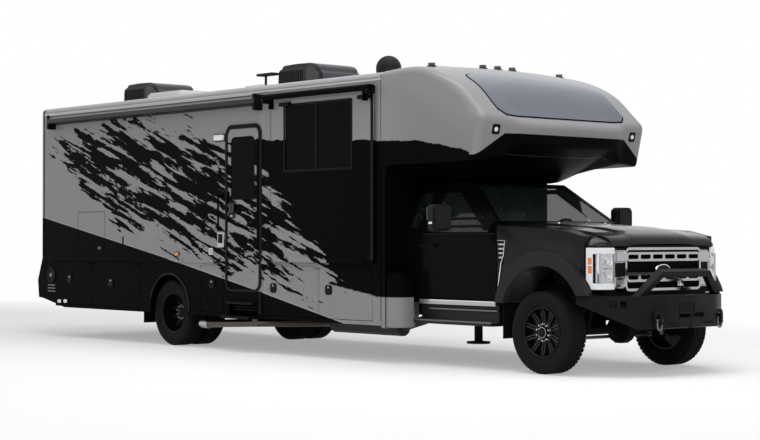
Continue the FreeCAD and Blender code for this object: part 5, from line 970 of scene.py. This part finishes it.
def noseSection(y, share, drop, pull):
    rise = nose["crown"] * (1 - (y / nose["half"]) ** 2) - drop
    deep = min(1.0, max(0.0, (1.235 - abs(y)) / 0.75))
    header = (nose["headerX"], 2.150 - 0.182 * deep * deep * (3 - 2 * deep))

    def mix(a, b):
        return a + (b - a) * share

    top = [(nose["rear"], nose["edge"] + rise), (-1.7, 3.19 + rise), (-1.378 - pull / 3, 3.124 + rise),
           (-1.011 - pull / 2, 2.96 + rise), (-0.741 - pull, 2.731 + rise * (1 - share)),
           (mix(-0.601, -0.54) - pull, mix(2.6, 2.535))]
    line = smoothLine(top, nose["profileSteps"])
    lip = (mix(-0.706, -0.6) - pull, mix(2.16, 2.33))
    ridge = rounded(line[-3], line[-1], lip, 0.06)
    chin = rounded(line[-1], lip, header, 0.035)
    return line[:-3] + ridge + chin + [header, (nose["rear"], header[1])]


def noseSkin():
    half, turn, inner, keel, shoulder = [nose[key] for key in ("half", "turn", "inner", "keel", "shoulder")]
    stations = []
    for step in range(nose["turnSteps"] + 1):
        angle = math.pi / 2 * step / nose["turnSteps"]
        left = 1 - math.sin(angle)
        stations.append((half - turn * (1 - math.cos(angle)), 0.0, nose["drop"] * left, nose["pull"] * left))
    for y in nose["between"]:
        share = 1.0
        if y > inner:
            share = (half - turn - y) / (half - turn - inner) * shoulder
        elif y > keel:
            share = shoulder + (inner - y) / (inner - keel) * (1 - shoulder)
        stations.append((y, share, 0.0, 0.0))
    stations = [(-y, *rest) for y, *rest in stations] + [(0.0, 1.0, 0.0, 0.0)] + stations[::-1]
    return skinned([[(x, y, z) for x, z in noseSection(y, *rest)] for y, *rest in stations])


def glassPanel(grow, lifts):
    # the smoked panel follows the slope of the nose, with round corners
    glass = nose["glass"]
    tree = casting(noseSkin())
    grids = [[], []]
    for i in range(glass["rows"] + 1):
        t = i / glass["rows"]
        x = glass["top"] + grow - (glass["length"] + 2 * grow) * t
        width = glass["half"] - glass["taper"] * t + grow
        near = min(t, 1 - t) * glass["length"]
        corner = glass["corners"][t > 0.5]
        if near < corner:
            width -= corner - math.sqrt(max(0.0, corner ** 2 - (corner - near) ** 2))
        hits = [tree.ray_cast(Vector((x, width * (2 * j / glass["columns"] - 1), 4.0)), down)
                for j in range(glass["columns"] + 1)]
        for grid, lift in zip(grids, lifts):
            grid.append([hit[0] + hit[1] * lift for hit in hits])
    return slabForm(grids)


def makeNose():
    shape = Shape().add("nosePaint", noseSkin())
    leg, rear = nose["leg"], nose["rear"]
    x, z = leg["x"] + leg["radius"], leg["bend"] - leg["radius"]
    outline = [(rear, leg["low"]), (leg["x"], leg["low"]), *arc(x, z, leg["radius"], leg["radius"], 180, 90, 12),
               (x, leg["top"]), (rear, leg["top"])]
    for side in both:
        shape.sweep("nosePaint", outline, "y", side * leg["inner"], side * leg["outer"], 0.006)
        shape.sweep("nosePaint", [(x, side * y) for x, y in nose["panel"]], "z", 0.392, 0.985, 0.012, 3)
    # painted shade in the joint down the leg
    shape.box("seam", -2.1015, -2.0995, -1.2755, -1.27, 0.39, 1.98)
    shape.done("noseSkin", "vehicle", "nose_cap", sharp=52)
    panes = Shape().add("noseGlass", glassPanel(0.0, (0.009, 0.001)))
    # painted shade: a dark rim round the glass for the gap at its edge
    panes.add("seam", glassPanel(0.011, (0.004, 0.0005)))
    for x0, x1 in nose["windows"]:
        panes.plate("privacyGlass", "y", 1.266, 1.272, x0 + 0.004, x1 - 0.004, 1.854, 2.556, 0.056)
        panes.frame("trimBlack", roundedOutline(x0 - 0.022, x1 + 0.022, 1.828, 2.582, 0.08),
                    roundedOutline(x0 + 0.012, x1 - 0.012, 1.862, 2.548, 0.05), "y", 1.268, 1.279)
        middle = (x0 + x1) / 2
        panes.box("trimBlack", middle - 0.008, middle + 0.008, 1.27, 1.276, 1.856, 2.554)
    panes.done("coachGlass", "vehicle", "coach_windows", sharp=50)


makeNose()


# Roof: coolers, vents, a roof light, a dome and a wing antenna

roofGear = {"coolers": (0.0, -3.55), "rear": -5.225, "length": 0.8, "width": (-0.358, 0.335), "louvres": 13,
            "outline": ((-5.225, 3.232), (-5.212, 3.43), (-5.175, 3.488), (-5.08, 3.518), (-4.76, 3.5255),
                        (-4.42, 3.518), (-4.275, 3.492), (-4.165, 3.425), (-4.12, 3.33), (-4.105, 3.232)),
            "vents": (-2.672, -5.9), "dome": (-3.15, -0.3, 0.15)}


def makeRoofGear():
    shape = Shape()
    rear, (near, far) = roofGear["rear"], roofGear["width"]
    for shift in roofGear["coolers"]:
        outline = [(rear + (x - rear) * roofGear["length"] + shift, z) for x, z in roofGear["outline"]]
        shape.sweep("coolerCase", outline, "y", near, far, 0.045, 4)
        slat = boxForm(-0.009, 0.009, near - 0.004, near + 0.004, 3.285, 3.44)
        shape.repeat("trimBlack", slat, roofGear["louvres"], (-5.15 + shift, 0, 0), (0.038, 0, 0))
        # painted shade in the joint across the cooler
        shape.box("seam", -4.64 + shift, -4.634 + shift, near - 0.0015, 0, 3.25, 3.47)
    for x in roofGear["vents"]:
        shape.box("shellWhite", x - 0.2, x + 0.2, -0.2, 0.2, 3.2, 3.31, 0.012)
        shape.plate("shellWhite", "z", 3.3, 3.334, x - 0.21, x + 0.21, -0.21, 0.21, 0.05, 0.01, 3)
    shape.plate("shellWhite", "z", 3.2, 3.322, -7.745, -6.905, -0.645, -0.11, 0.08, 0.03, 3)
    x, y, radius = roofGear["dome"]
    profile = [(3.2, 0), (3.2, radius * 0.92), (3.285, radius * 0.97)] + arc(3.34, 0, 0.15, radius, 90, 0, 8)
    shape.lathe("shellBlack", profile, 40, Matrix.Translation((x, y, 0)))
    shape.box("shellBlack", -5.638, -5.302, -0.366, -0.234, 3.4195, 3.451, 0.01)
    shape.tube("shellBlack", [(-5.487, -0.317, 3.21), (-5.487, -0.317, 3.43)], 0.016, 12)
    shape.done("roofGear", "vehicle", "roof_units", sharp=36)


makeRoofGear()
print("bonnet, cab, nose and roof ready")


# Wings: their edge over the headlamps, side vents and the cowl's louvres

wing = {"brow": ((0.798, 0.688, 1.345), (0.83, 0.668, 1.35), (0.87, 0.64, 1.346), (0.91, 0.608, 1.336),
                 (0.945, 0.578, 1.322), (0.972, 0.548, 1.3)), "low": 1.2735, "rear": 0.44,
        "slope": ((-0.664, 1.338), (-0.553, 1.338), (-0.574, 1.17), (-0.598, 1.08), (-0.626, 1.08), (-0.646, 1.17)),
        "lines": (((-0.61, 1.115), (-0.653, 0.85), 0.006), ((-0.66, 1.336), (-0.558, 1.336), 0.004),
                  ((-0.558, 1.336), (-0.577, 1.18), 0.004), ((-0.577, 1.18), (-0.61, 1.1), 0.005))}


def browForm(side):
    # the wing's edge between bonnet and headlamp
    low, rear = wing["low"], wing["rear"]
    rings = []
    for y, front, top in wing["brow"]:
        outline = [(rear, low), (front, low), (front + 0.002, low + 0.02), (front - 0.012, low + (top - low) * 0.62),
                   (front - 0.045, top - 0.01), (front - 0.1, top + 0.012), (rear, top + 0.04)]
        rings.append([(x, side * y, z) for x, z in outline])
    return skinned(rings)


def makeWingParts():
    shape = Shape()
    for side in both:
        # the wing's edge takes the bonnet's paler black, a painted sheen
        shape.add("bonnetPaint", browForm(side))
        shape.sweep("trimBlack", wing["slope"], "y", side * 0.994, side * 1.007, 0.002)
        for (x0, z0), (x1, z1), radius in wing["lines"]:
            shape.tube("bright", [(x0, side * 1.004, z0), (x1, side * 1.004, z1)], radius)
        for k in range(4):
            z, taper = 1.305 - 0.045 * k, 0.004 * k
            bar = [(-0.65 + taper, z), (-0.566 - taper, z), (-0.568 - taper, z - 0.018), (-0.648 + taper, z - 0.018)]
            shape.sweep("satin", bar, "y", side * 1.002, side * 1.01, 0.002)
    for k in range(12):
        y = -0.6 + 1.2 * k / 11
        shape.box("trimBlack", -0.668, -0.64, y - 0.045, y + 0.045, 1.499, 1.5035, 0.001)
    shape.done("wingVents", "vehicle")


makeWingParts()


# Belt lines, door handles and sill plates

door = {"belt": (("glossBlack", -1.842, -0.706, 0.988, 1.001, 1.396, 1.409, 0.003),),
        "grip": (-1.812, -1.594, 1.262, 1.3, 0.016, 0.002),
        "sill": (("satin", -1.865, -0.7, 0.95, 0.998, 0.655, 0.702, 0.006),
                 ("bright", -1.865, -0.7, 0.95, 1.0, 0.692, 0.704, 0.003),
                 ("steel", -1.735, -0.7, 0.945, 0.972, 0.598, 0.614, 0.003))}


def makeDoorTrim():
    for side, word in sides:
        shape = Shape().boxes(door["belt"], side)
        shape.plate("glossBlack", "y", side * 0.996, side * 1.004, *door["grip"])
        shape.done("doorTrim_" + word, "cab_door_" + word)
    Shape().boxes(door["sill"], -1).boxes(door["sill"]).done("sillPlates", "vehicle")


makeDoorTrim()


# Coach trim: mouldings, seams, frames, lights and hatches

coach = {"wall": 1.275, "rail": (1.046, 1.1, 0.018), "railRear": -9.335, "railFront": {-1: -5.06, 1: -2.2},
         "edge": (3.07, 3.1, 0.008), "hatch": (-8.439, -7.753, 1.15, 1.716), "inlet": (-9.145, -1.279, 0.848),
         "inletRim": ((0, 0), (0, 0.115), (0.008, 0.112), (0.008, 0.095), (0.003, 0.09), (0.003, 0)),
         "inletPin": ((0.002, 0), (0.002, 0.03), (0.01, 0.026), (0.012, 0)), "lamps": ((-8.909, 0.492), (-8.75, 0.496)),
         "arch": (-6.235, 0.476, 0.437)}

# finish, from and to along X and Z, corner radius, how far it stands out, soft edge
wallPlates = [
    ("trimBlack", -7.327, -7.299, 1.28, 1.38, 0.01, 0.006, 0.0015),
    ("trimBlack", -7.945, -7.812, 1.196, 1.262, 0.03, 0.006, 0.0015),
    ("steel", -7.912, -7.85, 1.216, 1.244, 0.012, 0.009, 0.0015),
    ("trimBlack", -6.125, -6.005, 1.13, 1.192, 0.028, 0.006, 0.0015),
    ("amber", -6.108, -6.022, 1.138, 1.184, 0.02, 0.016, 0.006),
    ("trimBlack", -5.262, -5.035, 2.535, 2.628, 0.02, 0.01, 0.0015),
    ("lensWhite", -5.246, -5.051, 2.547, 2.616, 0.016, 0.034, 0.01),
    ("label", -5.19, -5.062, 1.25, 1.432, 0.012, 0.01, 0.0015),
    ("trimBlack", -5.172, -5.08, 1.3, 1.41, 0.008, 0.013, 0.0015),
    ("label", -5.372, -5.292, 1.156, 1.24, 0.012, 0.01, 0.0015),
    ("lampCup", -5.355, -5.309, 1.18, 1.222, 0.01, 0.016, 0.0015)]
for x, z in coach["lamps"]:
    wallPlates += [("trimBlack", x - 0.055, x + 0.055, z - 0.032, z + 0.032, 0.012, 0.009, 0.0015),
                   ("lensWhite", x - 0.042, x + 0.042, z - 0.022, z + 0.022, 0.01, 0.014, 0.0015)]
for k in range(3):
    wallPlates.append(("steel", -9.225, -9.025, 0.618 + 0.042 * k, 0.633 + 0.042 * k, 0.006, 0.01, 0.0015))


def makeCoachTrim():
    shape = Shape()
    inside = coach["wall"] - 0.002
    for side in both:
        rail = halfRound(side, inside, *coach["rail"])
        shape.sweep("livery", rail, "x", coach["railRear"], coach["railFront"][side])
        shape.sweep("satin", halfRound(side, inside, *coach["edge"], 5), "x", -9.345, -2.172)
        shape.box("trimBlack", -9.346, -9.33, side * 1.264, side * 1.281, 0.72, 3.15, 0.003)
        # painted shade in the joint between nose and wall
        shape.box("seam", -2.1785, -2.1735, side * 1.27, side * 1.2765, 0.46, 3.14)
        x, z, radius = coach["arch"]
        lip = [(a, side * 1.2795, b) for a, b in arc(x, z, radius, radius, -3.6, 163.8, 32)]
        shape.tube("wheelRidge", lip, 0.0055)
    x0, x1, z0, z1 = coach["hatch"]
    # painted shade in the gap round the hatch
    shape.frame("seam", roundedOutline(x0, x1, z0, z1, 0.012),
                roundedOutline(x0 + 0.006, x1 - 0.006, z0 + 0.006, z1 - 0.006, 0.006), "y",
                -inside, -coach["wall"] - 0.0012)
    for key, x0, x1, z0, z1, radius, proud, soft in wallPlates:
        shape.plate(key, "y", -inside, -coach["wall"] - proud, x0, x1, z0, z1, radius, soft)
    inlet = facing(coach["inlet"], (0, -1, 0))
    shape.lathe("trimBlack", coach["inletRim"], 32, inlet).lathe("steel", coach["inletPin"], 20, inlet)
    shape.done("coachTrim", "vehicle")


def makeDoorFrame():
    shape = Shape()
    wall = -coach["wall"]
    outer = roundedOutline(-5.018, -4.318, 0.735, 2.712, 0.115, 8)
    inner = roundedOutline(-4.99, -4.352, 0.748, 2.676, 0.09, 8)
    brim = roundedOutline(-5.03, -4.306, 0.723, 2.724, 0.127, 8)
    shape.frame("trimBlack", outer, inner, "y", wall - 0.012, wall + 0.002)
    shape.frame("shellBlack", brim, outer, "y", wall - 0.01, wall + 0.002)
    shape.box("trimBlack", -4.352, -4.306, wall - 0.012, wall + 0.002, 0.462, 0.73, 0.003)
    for k in range(6):
        z = 0.5 + 0.034 * k
        shape.box("shellBlack", -4.86, -4.42, wall + 0.006, wall + 0.018, z, z + 0.008, 0.002)
    shape.done("entryFrame", "vehicle")
    keypad = Shape().plate("glossBlack", "y", -1.2965, -1.2945, -4.944, -4.822, 1.6, 1.8, 0.012, 0.0005)
    for row in range(4):
        for column in range(2):
            x, z = -4.912 + column * 0.045, 1.765 - row * 0.028
            keypad.box("steel", x - 0.012, x + 0.012, -1.2968, -1.295, z - 0.008, z + 0.008, 0.002)
    keypad.box("satin", -4.905, -4.862, -1.2968, -1.295, 1.615, 1.64, 0.003)
    keypad.done("entryKeypad", "entry_door")


slide = {"frame": ((-3.85, -2.618, 2.12, 2.91, 0.02), (-3.822, -2.646, 2.148, 2.882, 0.012)),
         # painted shade in the joint at the slide's rear edge
         "boxes": (("seam", -4.0955, -4.0915, -1.3065, -1.304, 1.27, 2.94),
                   ("glossBlack", -2.305, -2.255, -1.315, -1.304, 1.12, 2.956, 0.003),
                   ("satin", -2.2555, -2.2525, -1.313, -1.304, 2.43, 2.956, 0.001),
                   ("shellBlack", -3.26, -3.244, -1.309, -1.295, 2.148, 2.882, 0.002),
                   ("trimBlack", -3.895, -3.705, -1.35, -1.304, 2.885, 2.928, 0.006),
                   ("trimBlack", -2.495, -2.305, -1.35, -1.304, 2.885, 2.928, 0.006))}


def makeSlideTrim():
    shape = Shape().boxes(slide["boxes"])
    shape.frame("trimBlack", *[roundedOutline(*sizes) for sizes in slide["frame"]], "y", -1.31, -1.304)
    shape.done("slideTrim", "slide_room")


latches = {"right_1": (-8.652, 0.803), "right_2": (-7.604, 0.771), "right_3": (-5.315, 0.8),
           "right_4": (-4.081, 0.778), "right_5": (-3.064, 0.778), "left_1": (-8.48, 0.79), "left_2": (-3.3, 0.79)}


def makeLatches():
    for word, (x, z) in latches.items():
        side = -1 if "right" in word else 1
        shape = Shape().plate("trimBlack", "y", side * 1.272, side * 1.2845, x - 0.06, x + 0.06, z - 0.056, z + 0.056,
                              0.034, 0.004)
        shape.plate("glossBlack", "y", side * 1.284, side * 1.2865, x - 0.034, x + 0.034, z - 0.046, z + 0.006,
                    0.012, 0.001)
        lock = facing((x, side * 1.284, z + 0.028), (0, side, 0))
        shape.lathe("satin", ((0, 0), (0, 0.012), (0.0026, 0.011), (0.0026, 0)), 16, lock)
        shape.done("latch_bay_door_" + word, "bay_door_" + word)


makeCoachTrim()
makeDoorFrame()
makeSlideTrim()
makeLatches()
print("coach trim ready")


# Awning ends and topper ends

awning = {"boxes": (("trimBlack", -9.08, -9.025, -1.396, -1.28, 2.866, 3.063, 0.01),
                    ("trimBlack", -4.345, -4.29, -1.396, -1.28, 2.866, 3.063, 0.01),
                    ("satin", -9.02, -4.35, -1.394, -1.34, 3.046, 3.0605, 0.005),
                    ("trimBlack", -9.02, -4.35, -1.396, -1.39, 2.936, 2.944, 0.001)),
          "topper": (("trimBlack", -4.153, -4.088, -1.416, -1.3, 2.93, 3.033, 0.012),
                     ("trimBlack", -2.292, -2.228, -1.416, -1.3, 2.93, 3.033, 0.012)),
          "cover": ((-1.34, 3.026), (-1.372, 3.0335), (-1.4, 3.03), (-1.4155, 3.01), (-1.4165, 2.99),
                    (-1.411, 2.99), (-1.409, 3.008), (-1.398, 3.024), (-1.372, 3.028), (-1.342, 3.021))}

Shape().boxes(awning["boxes"]).done("awningTrim", "vehicle")
topper = Shape().boxes(awning["topper"]).sweep("satin", awning["cover"], "x", -4.088, -2.292)
topper.done("topperCover", "slide_room")


# Nose lamps: two square ones on the front, five small ones on the roof

noseLamps = {"square": ((-1.062, 2.478), (1.062, 2.478)), "half": 0.054, "domes": (-1.0, -0.23, 0.0, 0.23, 1.0),
             "domeX": -1.66, "lens": ((0.003, 0), (0.003, 0.026), (0.008, 0.022), (0.01, 0)),
             "dome": ((-0.003, 0), (-0.003, 0.056), (0.004, 0.054), (0.012, 0.036), (0.03, 0.022), (0.036, 0))}


def makeNoseLamps():
    shape = Shape()
    tree = casting(noseSkin())
    half = noseLamps["half"]
    for y, z in noseLamps["square"]:
        place = facing(*tree.ray_cast(Vector((0.5, y, z)), Vector((-1, 0, 0)))[:2])
        plate = sweptForm(roundedOutline(-half, half, -half, half, 0.02), "z", -0.012, 0.004)
        shape.add("glossBlack", plate, 0.002, matrix=place).lathe("lensWhite", noseLamps["lens"], 20, place)
    for y in noseLamps["domes"]:
        spot = tree.ray_cast(Vector((noseLamps["domeX"], y, 4.0)), down)[0]
        shape.lathe("trimBlack", noseLamps["dome"], 20, Matrix.Translation(spot))
    shape.done("noseLamps", "vehicle")


makeNoseLamps()


# Seats: padded cushion, back and headrest on a plain base

seat = {"y": 0.4, "parts": (("cushion", (0.46, 0.48, 0.13), (-1.46, 1.01), -4, 0.014),
                            ("back", (0.58, 0.46, 0.11), (-1.715, 1.29), -78, 0.012),
                            ("headrest", (0.15, 0.26, 0.09), (-1.775, 1.6), -84, 0.008))}


def padForm(size, crown):
    bm = boxForm(-0.5, 0.5, -0.5, 0.5, -0.5, 0.5)
    bmesh.ops.subdivide_edges(bm, edges=bm.edges, cuts=7, use_grid_fill=True)
    for v in bm.verts:
        p = v.co
        a, b, c = p.x * 2, p.y * 2, p.z * 2
        bulge = (1 - a * a) * (1 - b * b)
        pull = 1 - 0.05 * (a ** 4 + b ** 4)
        seam = 0.10 * math.exp(-((abs(b) - 0.62) / 0.07) ** 2) * size[2] if c > 0.9 else 0
        p.x, p.y = p.x * size[0] * pull, p.y * size[1] * pull
        p.z = p.z * size[2] * (1 - 0.15 * (a ** 6 + b ** 6)) + math.copysign(1, c) * (crown * bulge - seam)
    return bm


def makeSeat(side, word):
    y = side * seat["y"]
    for part, size, (x, z), tilt, crown in seat["parts"]:
        place = Matrix.Translation((x, y, z)) @ Matrix.Rotation(math.radians(tilt), 4, "Y")
        first = part == "cushion" and word == "right"
        shape = Shape().add("leather", padForm(size, crown), matrix=place)
        obj = shape.done("seat_" + part + "_" + word, "vehicle", *(("cab_seats",) if first else ()), sharp=60)
        surface = obj.modifiers.new("round", "SUBSURF")
        surface.levels = surface.render_levels = 1
    base = Shape().box("cabTrim", -1.66, -1.26, y - 0.17, y + 0.17, 0.915, 0.955, 0.01)
    for off in (-0.06, 0.06):
        base.tube("steel", [(-1.752, y + off, 1.5), (-1.772, y + off, 1.58)], 0.006)
    base.done("seatBase_" + word, "vehicle")


for side, word in sides:
    makeSeat(side, word)
print("seats ready")


# Below: bands on the jacks, the gearbox pan and the tail pipe's tip

under = {"band": ((0, 0.034), (0, 0.04), (0.05, 0.04), (0.05, 0.034)),
         "tip": ((0, 0.044), (0, 0.05), (0.006, 0.053), (0.15, 0.053), (0.156, 0.049), (0.15, 0.044)),
         "pan": (("frameBlack", -0.64, -0.24, -0.3, 0.3, 0.44, 0.7, 0.05, 4),
                 ("frameBlack", -1.5, -0.66, -0.27, 0.27, 0.4, 0.66, 0.06, 4))}


def makeUnderParts():
    shape = Shape()
    for x in (-1.402, -7.11):
        for y in (-0.55, 0.55):
            shape.lathe("amberDark", under["band"], 20, Matrix.Translation((x, y, 0.3)))
    shape.done("jackBands", "vehicle")
    Shape().boxes(under["pan"]).done("gearboxPan", "vehicle")
    Shape().lathe("satin", under["tip"], 32, facing((-5.669, -1.17, 0.3), (1, 0, 0))).done("pipeTip", "vehicle")


makeUnderParts()


# Studio

studio = {"eye": (11.7668 + axleX, -13.4656, 1.3589), "tilt": 90.613, "turn": 48.861, "lens": 80.84,
          "sensor": 36.0, "reach": 300.0, "floorSize": 120.0, "floor": ((0.86, 0.86, 0.86), (0.90, 0.90, 0.90)),
          "sky": 0.62, "nearWhite": 0.34, "fade": (5.0, 9.5), "view": "Standard",
          "skyStops": ((0.0, (0.42, 0.42, 0.43, 1)), (0.12, (0.60, 0.60, 0.61, 1)), (1.0, (0.95, 0.96, 1.0, 1))),
          "lamps": (("softTop", (3.0, -1.0, 12.0), (0, 0, 1), 10.0, 1080.0),
                    ("softFront", (17.0, -9.0, 9.0), (2, 0, 1.5), 8.0, 620.0),
                    ("softSide", (-6.0, -16.0, 8.0), (-2, 0, 1.5), 8.0, 190.0))}
white = (1, 1, 1)


def makeFloor():
    half = studio["floorSize"]
    mesh = bpy.data.meshes.new("studioFloor")
    mesh.from_pydata([(-half, -half, 0), (half, -half, 0), (half, half, 0), (-half, half, 0)], [], [(0, 1, 2, 3)])
    f = Finish("floorPaint")
    f.look(color=f.blend(f.noise(0.4), *studio["floor"]), rough=0.9, specular=0.0)
    x, y, z = f.axes()
    far = (x * x * 0.16 + (y + 0.5) * (y + 0.5)).maths("SQRT")
    low, high = studio["fade"]
    reach = ((far - low) * (1 / (high - low))).held()
    share = (reach * (1 - studio["nearWhite"]) + studio["nearWhite"]) * f.seen()
    paint = Sock(f.tree, f.shader.outputs[0])
    f.show(share, paint, f.node("ShaderNodeEmission", {0: white}))
    mesh.materials.append(f.material)
    placed("studioFloor", mesh)


def makeWorld():
    world = bpy.context.scene.world = bpy.data.worlds.new("studio")
    w = Nodes(world, "ShaderNodeOutputWorld")
    height = w.parts(w.node("ShaderNodeTexCoord", output="Generated"))[2]
    ramp = w.tree.nodes.new("ShaderNodeValToRGB")
    feed(w.tree, height, ramp.inputs[0])
    stops = ramp.color_ramp.elements
    low, middle, high = studio["skyStops"]
    for stop, (position, color) in zip(stops, (low, high)):
        stop.position, stop.color = position, color
    stops.new(middle[0]).color = middle[1]
    sky = w.node("ShaderNodeBackground", {0: Sock(w.tree, ramp.outputs[0]), 1: studio["sky"]})
    w.show(w.seen(), sky, w.node("ShaderNodeBackground", {0: white, 1: 1.0}))


def makeStudio():
    camera = placed("camera", bpy.data.cameras.new("camera"))
    camera.location = studio["eye"]
    camera.rotation_euler = (math.radians(studio["tilt"]), 0, math.radians(studio["turn"]))
    camera.data.lens = studio["lens"]
    camera.data.sensor_width = studio["sensor"]
    camera.data.clip_end = studio["reach"]
    bpy.context.scene.camera = camera
    makeFloor()
    makeWorld()
    for name, place, aim, size, power in studio["lamps"]:
        light = bpy.data.lights.new(name, "AREA")
        light.shape = "SQUARE"
        light.size = size
        light.energy = power
        lantern = placed(name, light)
        lantern.location = place
        lantern.rotation_euler = (Vector(aim) - Vector(place)).to_track_quat("-Z", "Y").to_euler()
    bpy.context.scene.view_settings.view_transform = studio["view"]


makeStudio()
print("studio ready")
